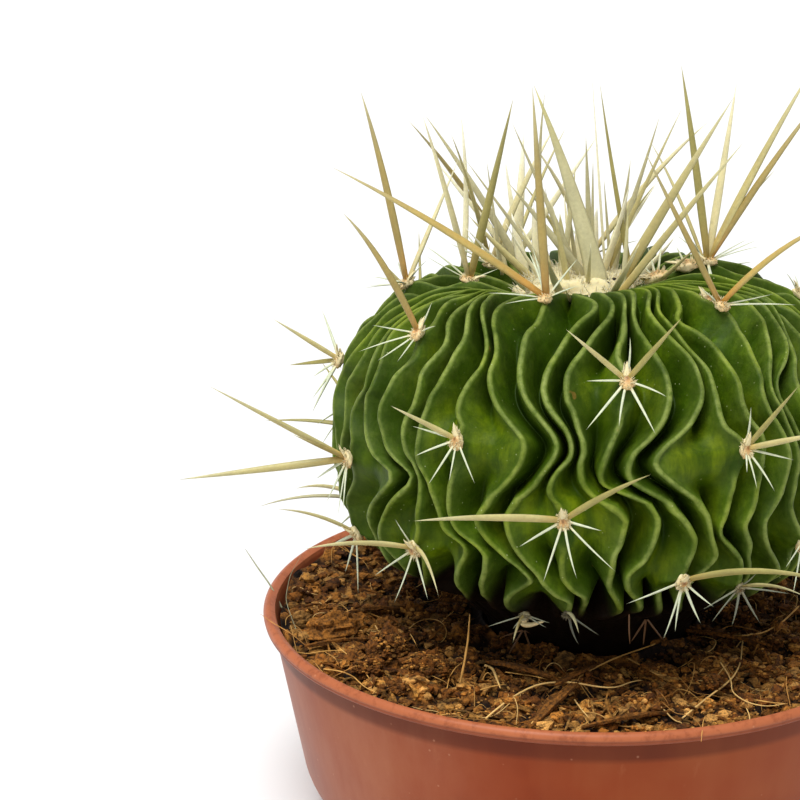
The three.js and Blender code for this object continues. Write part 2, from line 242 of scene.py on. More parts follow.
def newFinish(name, **settings):
    finish = bpy.data.materials.new(name)
    finish.use_nodes = True
    shader = finish.node_tree.nodes["Principled BSDF"]
    for socket, value in settings.items():
        shader.inputs[socket].default_value = value
    return finish, finish.node_tree, shader


def addNode(tree, kind, inputs=None, **settings):
    node = tree.nodes.new(kind)
    for key, value in settings.items():
        setattr(node, key, value)
    for key, value in (inputs or {}).items():
        if isinstance(value, bpy.types.NodeSocket):
            tree.links.new(value, node.inputs[key])
        else:
            node.inputs[key].default_value = value
    return node


def noiseNode(tree, scale, detail=4.0, roughness=0.6, stretch=None):
    place = addNode(tree, "ShaderNodeTexCoord").outputs["Object"]
    if stretch:
        place = addNode(tree, "ShaderNodeMapping", {"Vector": place, "Scale": stretch}).outputs[0]
    return addNode(tree, "ShaderNodeTexNoise", {"Vector": place, "Scale": scale, "Detail": detail,
                                                "Roughness": roughness}).outputs["Fac"]


def rampNode(tree, factor, *stops):  # stops are (place, grey) or (place, colour)
    node = addNode(tree, "ShaderNodeValToRGB", {"Fac": factor})
    elements = node.color_ramp.elements
    while len(elements) < len(stops):
        elements.new(0.5)
    for element, (place, colour) in zip(elements, stops):
        element.position = place
        element.color = (colour,) * 3 + (1,) if np.isscalar(colour) else (*colour, 1)
    return node.outputs["Color"]


def mixNode(tree, factor, first, second, blend="MIX"):
    node = addNode(tree, "ShaderNodeMix", data_type="RGBA", blend_type=blend)
    for socket, value in ((node.inputs[0], factor), (node.inputs[6], first), (node.inputs[7], second)):
        if isinstance(value, bpy.types.NodeSocket):
            tree.links.new(value, socket)
        elif np.isscalar(value):
            socket.default_value = value
        else:
            socket.default_value = (*value, 1)
    return node.outputs[2]


def timesNode(tree, first, second):
    node = addNode(tree, "ShaderNodeMath", operation="MULTIPLY", use_clamp=True)
    for socket, value in zip(node.inputs, (first, second)):
        if isinstance(value, bpy.types.NodeSocket):
            tree.links.new(value, socket)
        else:
            socket.default_value = value
    return node.outputs[0]


def tinted(tree, colour, mask, stops, tint):  # another colour, where the mask says
    return mixNode(tree, rampNode(tree, mask, *stops), colour, linear(*tint))


def speckNode(tree, scale):  # distance to the nearest speck
    place = addNode(tree, "ShaderNodeTexCoord").outputs["Object"]
    return addNode(tree, "ShaderNodeTexVoronoi", {"Vector": place, "Scale": scale}).outputs["Distance"]


def readMark(tree, name, output="Fac"):
    return addNode(tree, "ShaderNodeAttribute", attribute_name=name).outputs[output]


def addBump(tree, shader, *layers):  # layers are (height, strength, distance in mm)
    normal = None
    for height, strength, distance in layers:
        inputs = {"Height": height, "Strength": strength, "Distance": distance * mm}
        if normal:
            inputs["Normal"] = normal
        normal = addNode(tree, "ShaderNodeBump", inputs).outputs["Normal"]
    tree.links.new(normal, shader.inputs["Normal"])


def skinFinish():
    finish, tree, shader = newFinish("waxySkin", **{
        "Subsurface Weight": 0.1, "Subsurface Radius": (0.6, 1.0, 0.1),
        "Subsurface Scale": 1.2 * mm, "Specular IOR Level": 0.1})
    crest, sink = readMark(tree, "crest"), readMark(tree, "sink")
    paintedGlow, corkAndShade = readMark(tree, "paintedGlow"), readMark(tree, "corkAndShade")
    broad = noiseNode(tree, 60, 3, 0.55)
    patchy = noiseNode(tree, 170, 5, 0.65)
    streaky = noiseNode(tree, 420, 5, 0.65, stretch=(1, 1, 0.22))
    fine = noiseNode(tree, 700, 5, 0.7)
    grain = noiseNode(tree, 2300, 3, 0.7)
    face = rampNode(tree, patchy, (0.32, linear(36, 62, 0)), (0.5, linear(52, 80, 0)),
                    (0.68, linear(84, 112, 2)))
    face = tinted(tree, face, broad, [(0.4, 0.6), (0.62, 0)], (40, 62, 0))
    # painted glow: yellow-green light on the faces beside the areoles and in some valleys, standing in for
    # light shining through the skin
    paintedGlowShare = timesNode(tree, paintedGlow, rampNode(tree, streaky, (0.36, 0.2), (0.6, 0.66)))
    face = mixNode(tree, paintedGlowShare, face, linear(124, 138, 8))
    face = tinted(tree, face, streaky, [(0.36, 0.4), (0.55, 0)], (36, 56, 0))
    # painted shade: the faces darken towards the bottom of deep valleys
    face = tinted(tree, face, sink, [(0.55, 0), (1, 0.65)], (22, 38, 0))
    # paler crests: the rib edges' own colour, and partly a painted highlight
    bead = rampNode(tree, fine, (0.3, linear(106, 122, 50)), (0.72, linear(152, 163, 90)))
    bead = tinted(tree, bead, broad, [(0.5, 0), (0.66, 0.6)], (140, 152, 30))
    rimmed = timesNode(tree, rampNode(tree, crest, (0, 0), (0.22, 0.13), (0.7, 0.42), (1, 0.9)),
                       rampNode(tree, patchy, (0.34, 0.35), (0.6, 1)))
    colour = mixNode(tree, rimmed, face, bead)
    colour = tinted(tree, colour, fine, [(0.3, 0.3), (0.5, 0)], (42, 66, 2))
    dusted = timesNode(tree, rampNode(tree, speckNode(tree, 620), (0.04, 0.7), (0.08, 0)),
                       rampNode(tree, broad, (0.46, 0), (0.56, 1)))
    colour = mixNode(tree, dusted, colour, linear(186, 194, 140))
    scars = noiseNode(tree, 260, 2, 0.5)
    colour = tinted(tree, colour, scars, [(0.76, 0), (0.775, 0.45)], (140, 104, 48))
    # the underside turns near black: corky skin, darkened further as painted shade under the body
    corkAndShadeTone = rampNode(tree, fine, (0.3, linear(8, 5, 3)), (0.7, linear(26, 18, 10)))
    colour = mixNode(tree, corkAndShade, colour, corkAndShadeTone)
    tree.links.new(colour, shader.inputs["Base Color"])
    tree.links.new(rampNode(tree, fine, (0.3, 0.44), (0.75, 0.64)), shader.inputs["Roughness"])
    addBump(tree, shader, (patchy, 0.3, 0.8), (streaky, 0.2, 0.3), (fine, 0.35, 0.25),
            (grain, 0.25, 0.1))
    return finish


def hornFinish(name, roughness, rough, soft=0.15, depth=0.5):
    finish, tree, shader = newFinish(name, **{
        "Subsurface Weight": soft, "Subsurface Radius": (1, 0.8, 0.5),
        "Subsurface Scale": depth * mm, "Specular IOR Level": 0.4})
    tint = readMark(tree, "tint", "Color")
    streak = noiseNode(tree, 1500, 4, 0.7)
    grain = noiseNode(tree, 5200, 2, 0.6)
    shade = rampNode(tree, streak, (0.28, 0.82), (0.66, 1))
    tree.links.new(mixNode(tree, 1.0, tint, shade, "MULTIPLY"), shader.inputs["Base Color"])
    rubbed = rampNode(tree, grain, (0.3, roughness), (0.7, roughness + 0.2))
    tree.links.new(rubbed, shader.inputs["Roughness"])
    addBump(tree, shader, (streak, rough, 0.08), (grain, rough, 0.03))
    return finish


def coirFinish(name):
    finish, tree, shader = newFinish(name, **{"Specular IOR Level": 0.25})
    tint = readMark(tree, "tint", "Color")
    broad = noiseNode(tree, 230, 4, 0.65)
    grain = noiseNode(tree, 1500, 4, 0.7)
    shade = mixNode(tree, 1.0, rampNode(tree, broad, (0.32, 0.5), (0.66, 1)),
                    rampNode(tree, grain, (0.38, 0.24), (0.58, 1)), "MULTIPLY")
    tree.links.new(mixNode(tree, 1.0, tint, shade, "MULTIPLY"), shader.inputs["Base Color"])
    tree.links.new(rampNode(tree, grain, (0.2, 0.75), (0.8, 0.95)), shader.inputs["Roughness"])
    addBump(tree, shader, (broad, 0.8, 0.7), (grain, 1.0, 0.5))
    return finish


waxySkin = skinFinish()
spineHorn = hornFinish("spineHorn", 0.38, 0.3)
softFleece = hornFinish("softFleece", 0.8, 0.4, 0.6, 1.5)
coirCrumb = coirFinish("coirCrumb")
coirFibre = hornFinish("coirFibre", 0.7, 0.5)
print("plant and soil materials ready")


# Pot

pot = {
    "rimRadius": 55, "rimHeight": 37, "lipRadius": 1.1, "lipOverhang": 1.6, "wallThickness": 0.9,
    "wallTaper": 11.5, "cornerRadius": 12.5,
    "drainHoles": 6, "drainHoleRadius": 3.5, "drainCircleRadius": 27,
    "turns": 160, "cornerSteps": 20, "lipSteps": 30, "smoothBelow": 35,
    "mouldingHeight": 0.14, "mouldingAngle": -14, "mouldingSpread": 7,
    "groove": 3, "grooveDepth": 0.3, "grooveRun": 1.2,
}
pot["wallTopRadius"] = pot["rimRadius"] - pot["lipOverhang"]
pot["wallTopHeight"] = pot["rimHeight"] - 2 * pot["lipRadius"]
wallTaper = math.radians(pot["wallTaper"])
wallRise = pot["wallTopHeight"] - pot["cornerRadius"] + pot["cornerRadius"] * math.sin(wallTaper)
pot["baseRadius"] = (pot["wallTopRadius"] - pot["cornerRadius"] * math.cos(wallTaper)
                     - wallRise * math.tan(wallTaper))


def shareNode(tree, value, low, high):  # 0 at the low end and 1 at the high end, in mm
    ends = {"Value": value, "From Min": low * mm, "From Max": high * mm}
    return addNode(tree, "ShaderNodeMapRange", ends).outputs[0]


def potFinish():
    finish, tree, shader = newFinish("mouldedPlastic", **{"Specular IOR Level": 0.18})
    streaks = noiseNode(tree, 60, 4, 0.6, stretch=(1, 1, 0.1))
    cloud = noiseNode(tree, 26, 4, 0.6)
    scuffs = noiseNode(tree, 150, 5, 0.7, stretch=(1, 1, 0.3))
    grain = noiseNode(tree, 1600, 3, 0.7)
    colour = rampNode(tree, cloud, (0.32, linear(122, 44, 8)), (0.5, linear(136, 54, 14)),
                      (0.68, linear(146, 70, 30)))
    colour = tinted(tree, colour, streaks, [(0.48, 0), (0.72, 0.45)], (156, 84, 46))
    colour = tinted(tree, colour, scuffs, [(0.62, 0), (0.74, 0.3)], (176, 108, 70))
    place = addNode(tree, "ShaderNodeTexCoord").outputs["Object"]
    parts = addNode(tree, "ShaderNodeSeparateXYZ", {"Vector": place}).outputs
    across, height = parts["X"], parts["Z"]
    paintedSheenOneSide = timesNode(tree, shareNode(tree, across, -8, -34),
                      rampNode(tree, scuffs, (0.3, 0.25), (0.6, 0.5)))
    colour = mixNode(tree, paintedSheenOneSide, colour, linear(172, 112, 84))  # painted sheen on one side, patchy with the scuffs
    under = shareNode(tree, height, pot["wallTopHeight"] - 3.9, pot["wallTopHeight"] - 2.8)
    paintedShadowUnderLip = timesNode(tree, under, rampNode(tree, streaks, (0.3, 0.75), (0.7, 0.5)))
    colour = mixNode(tree, paintedShadowUnderLip, colour, linear(84, 30, 8))  # painted shadow below the lip
    # painted light from above: the whole lip is paler than the wall
    onLip = shareNode(tree, height, pot["wallTopHeight"] - 0.05, pot["wallTopHeight"] + 0.1)
    colour = mixNode(tree, onLip, colour, linear(142, 74, 46))
    onRim = shareNode(tree, height, pot["rimHeight"] - 1.35, pot["rimHeight"] - 1.05)
    wearAndPaintedLight = timesNode(tree, onRim, rampNode(tree, scuffs, (0.3, 0.6), (0.65, 1)))
    colour = mixNode(tree, wearAndPaintedLight, colour, linear(172, 98, 62))  # the rim's top is paler: rubbed by handling, and painted light from above
    mottled = rampNode(tree, noiseNode(tree, 520, 5, 0.7), (0.36, 0.5), (0.5, 0))
    colour = mixNode(tree, timesNode(tree, onLip, mottled), colour, linear(118, 56, 32))
    colour = tinted(tree, colour, speckNode(tree, 330), [(0.04, 0.4), (0.09, 0)], (196, 140, 108))
    tree.links.new(colour, shader.inputs["Base Color"])
    tree.links.new(rampNode(tree, cloud, (0.3, 0.36), (0.7, 0.48)), shader.inputs["Roughness"])
    addBump(tree, shader, (streaks, 0.12, 0.25), (scuffs, 0.12, 0.15), (grain, 0.15, 0.05))
    return finish


mouldedPlastic = potFinish()


def wallOutline(inset, topHeight):  # radius and height: rounded corner, then the wall
    radius = pot["cornerRadius"] - inset
    turns = np.linspace(-math.pi / 2, -wallTaper, pot["cornerSteps"] + 1)
    outline = np.stack([pot["baseRadius"] + radius * np.cos(turns),
                        pot["cornerRadius"] + radius * np.sin(turns)], -1)
    reach = outline[-1, 0] + (topHeight - outline[-1, 1]) * math.tan(wallTaper)
    return np.concatenate([outline, [[reach, topHeight]]])


def wallRadius(inset, height):
    return wallOutline(inset, height)[-1, 0]


def makePot():
    lipRadius, rimHeight, wallTop = pot["lipRadius"], pot["rimHeight"], pot["wallTopHeight"]
    turns = np.linspace(-math.pi / 2, math.pi / 2, pot["lipSteps"] + 1)
    away = (np.degrees(turns) - pot["mouldingAngle"]) / pot["mouldingSpread"]
    moulded = pot["mouldingHeight"] * bell(0, away)
    lip = np.stack([pot["rimRadius"] - lipRadius + (lipRadius - moulded) * np.cos(turns),
                    rimHeight - lipRadius + lipRadius * np.sin(turns)], -1)  # with a fine line round it
    edge = [[pot["rimRadius"] - lipRadius - pot["wallThickness"], rimHeight - lipRadius / 2]]
    wall = wallOutline(0, wallTop)
    under = wallTop - pot["groove"]
    drawnIn = under + pot["grooveRun"]
    groove = [[wallRadius(0, under), under],
              [wallRadius(0, drawnIn) - 0.5 * pot["grooveDepth"], drawnIn],
              [wall[-1, 0] - pot["grooveDepth"], wallTop]]  # drawn in below the lip
    outline = np.concatenate([[[0, 0]], wall[:-1], groove, lip, edge,
                              wallOutline(pot["wallThickness"], wallTop)[::-1],
                              [[0, pot["wallThickness"]]]])
    mesh = bpy.data.meshes.new("potShell")
    mesh.from_pydata([(radius * mm, 0, height * mm) for radius, height in outline],
                     [(step, step + 1) for step in range(len(outline) - 1)], [])
    shell = bpy.data.objects.new("potShell", mesh)
    bpy.context.collection.objects.link(shell)
    deselectAll()
    bpy.context.view_layer.objects.active = shell
    shell.select_set(True)
    bpy.ops.object.mode_set(mode="EDIT")
    bpy.ops.mesh.select_all(action="SELECT")
    bpy.ops.mesh.spin(steps=pot["turns"], angle=2 * math.pi, center=(0, 0, 0), axis=(0, 0, 1))
    bpy.ops.mesh.select_all(action="SELECT")
    bpy.ops.mesh.remove_doubles(threshold=0.01 * mm)
    bpy.ops.mesh.normals_make_consistent(inside=False)
    bpy.ops.object.mode_set(mode="OBJECT")
    for hole in range(pot["drainHoles"]):
        turn, away = hole / pot["drainHoles"] * 2 * math.pi, pot["drainCircleRadius"] * mm
        deselectAll()
        bpy.ops.mesh.primitive_cylinder_add(
            vertices=40, radius=pot["drainHoleRadius"] * mm, depth=4 * pot["wallThickness"] * mm,
            location=(away * math.cos(turn), away * math.sin(turn), 0))
        drill = bpy.context.object
        bpy.context.view_layer.objects.active = shell
        cut = shell.modifiers.new("drain", "BOOLEAN")
        cut.operation, cut.object, cut.solver = "DIFFERENCE", drill, "EXACT"
        bpy.ops.object.modifier_apply(modifier=cut.name)
        bpy.data.objects.remove(drill)
    deselectAll()
    shell.select_set(True)
    bpy.context.view_layer.objects.active = shell
    bpy.ops.object.shade_smooth_by_angle(angle=math.radians(pot["smoothBelow"]))
    shell.data.materials.clear()
    shell.data.materials.append(mouldedPlastic)
    seat(shell, "pot_plastic", "pot")
    print("pot", len(shell.data.vertices), "points")


makePot()


# Body

spine = {
    "padLength": 2, "padWidth": 1.5, "padHeight": 1.1, "gap": 0.3,
    "radialClocks": [95, 138, 180, 222, 265, 8], "radialLength": 8.6, "radialTilt": 70, "radialWidth": 0.4,
    "centralWidth": 0.62, "centralWidthGain": 0.024, "centralFlatness": 0.66,
    "radialLift": 2.4, "radialReach": 15, "padHairs": 64, "tuftHairs": 14, "hairWidth": 0.22,
}
body = {
    "offset": 1, "radius": 43.8, "equatorHeight": 70, "crownRise": 27.2, "underDrop": 26,
    "shoulderPower": 0.7, "crownPower": 0.96, "haunchPower": 0.46, "underPower": 0.72,
    "neckRadius": 18, "neckHeight": 36, "rootRadius": 15, "rootHeight": 24, "rootPoint": 0.5,
    "hollowMiddle": (-4.2, 5.8), "hollowReach": (17.4, 16.5), "hollowDepth": 7.5, "hollowEdge": 1.5,
    "ribs": 50, "ribDepth": 6.2, "sheetWidth": 13, "beadWidth": 0.58, "beadRound": 0.5,
    "beadAngles": [0, 40, 78], "flankShares": [0.14, 0.4, 0.68, 0.88],
    "tracedAreoles": 12, "pullAcross": 8, "pullAlong": 6, "leastGap": 1.75, "gapRounds": 60,
    "lineSmooth": 0.7, "valleySmooth": 2.4, "valleyRoom": 0.3, "sheetSmooth": 1.5,
    "mergeStart": 40, "mergeEnd": 24, "sinkStart": 2.6, "sinkEnd": 5.6,
    "lumps": (5, 0.4), "fineLumps": (1.8, 0.1),  # size and height
    "polarFirst": 7, "polarLast": 158, "rows": 134, "corkAndShadeStart": 126, "corkAndShadeEnd": 140,
    "crownFadeStart": 6, "crownFadeEnd": 24, "neckFadeStart": 140,
    "knobHeight": 0.9, "knobReach": 4, "notchDepth": 2.4, "notchDrop": 5, "notchReach": 3.5,
}
sourceRibs = {  # the rib rule of the part's source, which places the areoles
    "count": 50, "spreadByAreole": 0.85, "spreadAcross": 6.5, "spreadAlong": 6.5,
    "leanAcross": 13, "leanAlong": 9, "millimetresPerDegree": 0.8,
}

# Azimuth from the front, polar angle from the crown, and the tips of the central spines as right,
# back and up of the areole, then how far the middle bows upwards
frontAreoles = [
    (-30, 74, [(-10, -3, 5, 0)]),
    (-5, 92, [(-22, -9, 3, 0.5), (12, -6, 10, 0.5)]),
    (8, 51, [(-9, -3, 9, 0), (8, -2, 10, 0)]),
    (33, 75, [(8, -1, 10, 0), (12, -4, 4, 0)]),
    (19, 112, [(24, -10, 4, 2)]),
    (-40, 109, [(-17, -6, 1, 1), (5, -7, -7, 2)]),
    (-18, 144, [(-1, -6, -2, 1)]),
    (-55, 46, [(-12, 3, 19, 2)]),
    (-64, 91, [(-22, -5, 13, 0), (-28, -3, -4, 0), (-9, -5, 4, 0)]),
    (-90, 71, [(-11, 1, 6, 0), (-10, 5, -1, 0)]),
    (-70, 121, [(-11, 0, 5, 1)]),
    (-97, 39, [(-9, 8, 30, 2), (6, 3, 18, 0)]),
    (-5, 132, [(2, -8, 0, 1)]),
    (35, 121, [(9, -8, 2, 1)]),
    (50, 107, [(15, -8, 6, 2)]),
    (105, 46, [(16, 5, 18, 2)]),
    (49, 27, [(-11, 1, 24, 0), (18, -3, 14, 2)]),
    (-25, 18, [(-34, -3, 21, 1), (-3, 7, 33, 0)]),
    (-70, 22, [(-8, 7, 26, 1), (4, 8, 27, 0)]),
    (108, 18, [(-5.5, 7, 30.5, 1), (3.5, 9, 27.5, 0), (16, 8, 31, 1), (18, 6, 27, 1)]),
]
backRows = {"polars": [24, 46, 68, 90, 110, 130], "first": 72, "last": 258, "spacing": 53,
            "clearance": 14, "clocks": [-42, 46, 0]}

# How far the sheets beside an areole flatten out
softSheets = {1: 1, 2: 1, 3: 0.8, 4: 0.9, 5: 1, 6: 0.8, 8: 0.5, 9: 0.3, 10: 0.3}

# Seats of the areoles and tips of their central spines that the picture shows, in pixels
seatPixels = {1: (459, 440), 2: (565, 520), 3: (626, 382), 4: (744, 448), 5: (681, 578), 6: (417, 546),
              7: (526, 611), 8: (420, 336), 9: (351, 458), 10: (343, 361), 13: (568, 610), 14: (738, 584),
              17: (719, 309), 18: (546, 302), 19: (469, 284)}
centralTips = {1: [(393, 407)], 2: [(418, 521), (648, 476)], 3: [(568, 331), (680, 320)],
               4: [(797, 388), None], 6: [(308, 549), (438, 595)], 8: [(345, 217)],
               9: [(213, 388), (184, 479), (294, 435)],
               10: [(275, 320), (290, 365)], 11: [(280, 510)], 12: [(362, 97), (457, 163)],
               17: [(647, 156), (838, 222)], 18: [(338, 171), (533, 84)], 19: [None, (512, 104)],
               20: [(682, 71), (736, 87), (813, 66), (826, 92)]}

# Crests that the picture shows, from the crown down, in pixels
crestTraces = [
    [(368, 388), (360, 392), (354, 400), (351, 412), (351, 425), (354, 440), (352, 457), (349, 475),
     (347, 490), (347, 505), (352, 520), (358, 532), (366, 545), (376, 556)],
    [(428, 297), (412, 308), (400, 318), (388, 330), (379, 343), (373, 357), (370, 372), (367, 388),
     (365, 403), (364, 420), (366, 435), (370, 447), (377, 458), (387, 465), (393, 472), (392, 481),
     (384, 488), (375, 497), (369, 506), (367, 517), (369, 530), (374, 543), (385, 556)],
    [(478, 288), (462, 294), (450, 301), (442, 311), (437, 321), (430, 329), (420, 337), (410, 352),
     (401, 364), (393, 377), (387, 390), (383, 403), (380, 418), (381, 432), (384, 446), (391, 458),
     (400, 466), (408, 473), (411, 481), (406, 489), (396, 496), (388, 505), (382, 515), (379, 527),
     (381, 540), (388, 552), (400, 565), (415, 580)],
    [(488, 291), (472, 298), (461, 305), (453, 313), (449, 323), (448, 335), (445, 345), (437, 354),
     (429, 363), (423, 374), (419, 386), (415, 398), (410, 408), (403, 417), (400, 428), (401, 442),
     (405, 455), (412, 465), (418, 474), (420, 485), (419, 500), (419, 515), (421, 530), (418, 543),
     (420, 560), (422, 575), (427, 590)],
    [(500, 294), (488, 298), (479, 304), (472, 312), (469, 322), (468, 333), (464, 343), (456, 353),
     (449, 363), (442, 374), (436, 385), (430, 396), (425, 407), (421, 418), (418, 430), (417, 445),
     (417, 458), (420, 470), (426, 481), (431, 493), (435, 505), (438, 518), (442, 528), (450, 537),
     (460, 543), (465, 549), (463, 558), (458, 568), (457, 578), (460, 588)],
    [(508, 296), (500, 302), (492, 308), (488, 316), (488, 326), (491, 337), (492, 348), (489, 357),
     (482, 365), (475, 374), (467, 385), (460, 398), (457, 411), (459, 419), (464, 426), (458, 440),
     (453, 458), (451, 470), (449, 485), (447, 500), (447, 514), (450, 525), (458, 535), (470, 542),
     (480, 548), (487, 556), (487, 570), (485, 584), (487, 600)],
    [(523, 300), (512, 306), (504, 313), (498, 323), (495, 335), (493, 350), (491, 365), (490, 380),
     (492, 393), (497, 406), (505, 418), (514, 429), (521, 439), (523, 450), (519, 463), (511, 476),
     (502, 488), (492, 499), (482, 510), (477, 520), (480, 531), (487, 542), (497, 551), (510, 561),
     (521, 569), (530, 578), (532, 585), (527, 594), (521, 602), (525, 612)],
    [(545, 300), (537, 313), (530, 323), (525, 337), (522, 350), (520, 363), (519, 378), (521, 390),
     (527, 402), (535, 413), (545, 424), (553, 434), (557, 444), (556, 453), (550, 463), (543, 474),
     (534, 486), (526, 496), (516, 505), (507, 512), (505, 522), (507, 534), (512, 547), (520, 559),
     (530, 571), (543, 584), (558, 596), (575, 603)],
    [(568, 291), (573, 300), (572, 310), (565, 318), (562, 328), (560, 340), (556, 352), (551, 364),
     (546, 376), (543, 388), (545, 400), (551, 411), (560, 421), (568, 430), (574, 441), (576, 452),
     (570, 460), (560, 467), (553, 477), (550, 488), (553, 499), (563, 508), (566, 517), (565, 533),
     (563, 548), (562, 565), (562, 580), (568, 592), (578, 600)],
    [(588, 292), (593, 302), (593, 315), (591, 328), (587, 340), (581, 352), (574, 363), (569, 375),
     (567, 387), (568, 399), (573, 411), (578, 425), (580, 440), (580, 455), (580, 470), (583, 483),
     (590, 493), (601, 502), (613, 509), (624, 512), (627, 520), (625, 532), (620, 545), (614, 558),
     (609, 572), (605, 588), (604, 602)],
    [(605, 292), (612, 300), (618, 312), (622, 325), (623, 337), (619, 346), (617, 355), (622, 366),
     (627, 378), (628, 395), (624, 410), (619, 425), (613, 440), (607, 453), (602, 466), (600, 478),
     (603, 487), (613, 491), (626, 494), (640, 500), (651, 507), (658, 516), (659, 527), (656, 540),
     (651, 553), (643, 564), (632, 571), (625, 577), (623, 588), (629, 600)],
    [(623, 292), (628, 301), (632, 312), (637, 323), (644, 335), (652, 347), (660, 359), (666, 370),
     (670, 382), (671, 395), (668, 408), (663, 421), (656, 433), (646, 443), (636, 452), (629, 462),
     (628, 473), (633, 483), (646, 490), (659, 498), (671, 507), (682, 517), (690, 528), (695, 540),
     (692, 552), (686, 563), (680, 577)],
    [(650, 287), (655, 298), (661, 310), (668, 321), (676, 333), (684, 345), (692, 356), (699, 366),
     (704, 377), (705, 388), (702, 400), (697, 412), (690, 424), (680, 435), (669, 445), (659, 454),
     (654, 463), (660, 473), (672, 483), (685, 493), (697, 502), (706, 511), (711, 522), (713, 535),
     (717, 547), (719, 558), (714, 569), (704, 580)],
    [(655, 291), (663, 303), (671, 316), (679, 328), (688, 341), (697, 354), (705, 366), (711, 379),
     (716, 392), (718, 405), (719, 417), (722, 428), (731, 436), (742, 445), (742, 462), (739, 477),
     (735, 492), (731, 507), (727, 520), (722, 530), (724, 539), (735, 548), (746, 555), (750, 563),
     (747, 574), (738, 588)],
    [(665, 286), (675, 292), (683, 301), (687, 312), (694, 321), (704, 329), (713, 338), (721, 349),
     (728, 361), (734, 373), (739, 386), (743, 399), (747, 411), (753, 421), (760, 430), (764, 441),
     (765, 455), (763, 470), (760, 485), (756, 500), (752, 513), (748, 524), (752, 534), (758, 543),
     (756, 553), (752, 565)],
    [(688, 292), (697, 303), (718, 312), (731, 320), (739, 331), (746, 343), (753, 355), (760, 367),
     (765, 379), (767, 391), (768, 402), (773, 411), (781, 420), (786, 432), (789, 446), (790, 460),
     (789, 474), (786, 488), (781, 500), (774, 510), (769, 520), (771, 532), (774, 545), (773, 558)],
    [(745, 313), (756, 322), (763, 334), (769, 346), (772, 359), (772, 371), (771, 383), (775, 395),
     (785, 405), (794, 416), (799, 430), (802, 450), (802, 470), (798, 490), (792, 505)],
    [(758, 305), (769, 315), (778, 327), (784, 339), (787, 351), (785, 363), (779, 373), (777, 385),
     (783, 397), (792, 408), (803, 421), (812, 438), (816, 455)],
]


def crestLine(polar):
    angle = np.radians(np.asarray(polar, float))
    sine, cosine = np.abs(np.sin(angle)), np.cos(angle)
    upper = cosine > 0
    radius = body["radius"] * sine ** np.where(upper, body["shoulderPower"], body["haunchPower"])
    rise = np.where(upper, body["crownRise"] * np.abs(cosine) ** body["crownPower"],
                    -body["underDrop"] * np.abs(cosine) ** body["underPower"])
    return radius, body["equatorHeight"] + rise


def crestPoint(azimuth, polar):  # on the surface that holds the crests, with the hollow of the crown
    turn, (radius, height) = np.radians(azimuth), crestLine(polar)
    x, y = body["offset"] + radius * np.sin(turn), -radius * np.cos(turn)
    (middleX, middleY), (reachX, reachY) = body["hollowMiddle"], body["hollowReach"]
    away = ((x - middleX) / reachX) ** 2 + ((y - middleY) / reachY) ** 2
    sunk = body["hollowDepth"] * np.exp(-away ** body["hollowEdge"]) * (np.asarray(polar) < 80)
    return np.stack([x, y, height - sunk + 0 * x], -1)


def skinFrame(azimuth, polar):  # point on the crest surface, and its side, up and outward directions
    turn, polar = np.radians(azimuth), np.asarray(polar, float)
    side = np.stack([np.cos(turn), np.sin(turn), np.zeros_like(turn)], -1)
    up = unit(crestPoint(azimuth, polar - 1) - crestPoint(azimuth, polar + 1))
    return crestPoint(azimuth, polar), side, up, np.cross(side, up)


def sprayDirection(side, up, normal, clock, tilt):
    clock, tilt = math.radians(clock), math.radians(tilt)
    return (up * math.cos(clock) + side * math.sin(clock)) * math.sin(tilt) + normal * math.cos(tilt)


def spacing(place, other):
    radius = crestLine((place[1] + other[1]) / 2)[0]
    across = np.radians(wrapDegrees(place[0] - other[0])) * radius
    return math.hypot(across, (place[1] - other[1]) * sourceRibs["millimetresPerDegree"])


def backCentral(azimuth, polar, seed, clock):
    turn, slope = math.radians(azimuth), math.radians(polar)
    side = np.array([math.cos(turn), math.sin(turn), 0])
    up = np.array([-math.sin(turn) * math.cos(slope), math.cos(turn) * math.cos(slope), math.sin(slope)])
    length = 11 + 15 * draw(seed) + (6 if polar < 60 else 0)
    tip = sprayDirection(side, up, np.cross(side, up), clock + 24 * (draw(seed + 1) - 0.5),
                         38 + 14 * draw(seed + 2)) * length
    return tip[0], tip[1], max(tip[2], -3), 1.5 if length > 18 else 0


def backAreoles():
    found = []
    for row, polar in enumerate(backRows["polars"]):
        azimuth = backRows["first"] + (row % 2) * backRows["spacing"] * 0.5
        while azimuth < backRows["last"]:
            seed = 20 * row + azimuth
            place = (azimuth + 12 * (draw(seed) - 0.5), polar + 8 * (draw(seed + 7) - 0.5))
            if all(spacing(place, other) > backRows["clearance"] for other in frontAreoles):
                clocks = backRows["clocks"][:1 + int(math.floor(1.7 * draw(seed + 3) + 0.5))]
                found.append((*place, [backCentral(*place, seed + 10 * number, clock)
                                       for number, clock in enumerate(clocks)]))
            azimuth += backRows["spacing"]
    return found


def placeAreoles():
    placed = []
    for number, (azimuth, polar, centrals) in enumerate([*frontAreoles, *backAreoles()]):
        rib = math.floor(azimuth * sourceRibs["count"] / 360 + 0.5)
        straight = rib * 360 / sourceRibs["count"]
        lean = math.radians(azimuth - straight) * float(crestLine(polar)[0])
        placed.append({"number": number + 1, "straight": straight, "polar": polar, "lean": lean,
                       "centrals": centrals, "seed": 7 * number + 1})
    for areole in placed:  # the rib's azimuth at its areole, as the part's source has it
        perDegree = math.radians(1) * float(crestLine(areole["polar"])[0])
        moved = 0
        for other in placed:
            across = wrapDegrees(areole["straight"] - other["straight"]) * perDegree
            along = (areole["polar"] - other["polar"]) * sourceRibs["millimetresPerDegree"]
            moved += (sourceRibs["spreadByAreole"] * across
                      * bell(across / sourceRibs["spreadAcross"], along / sourceRibs["spreadAlong"]))
            moved += other["lean"] * bell(across / sourceRibs["leanAcross"], along / sourceRibs["leanAlong"])
        areole["azimuth"] = areole["straight"] + moved / perDegree
    return placed


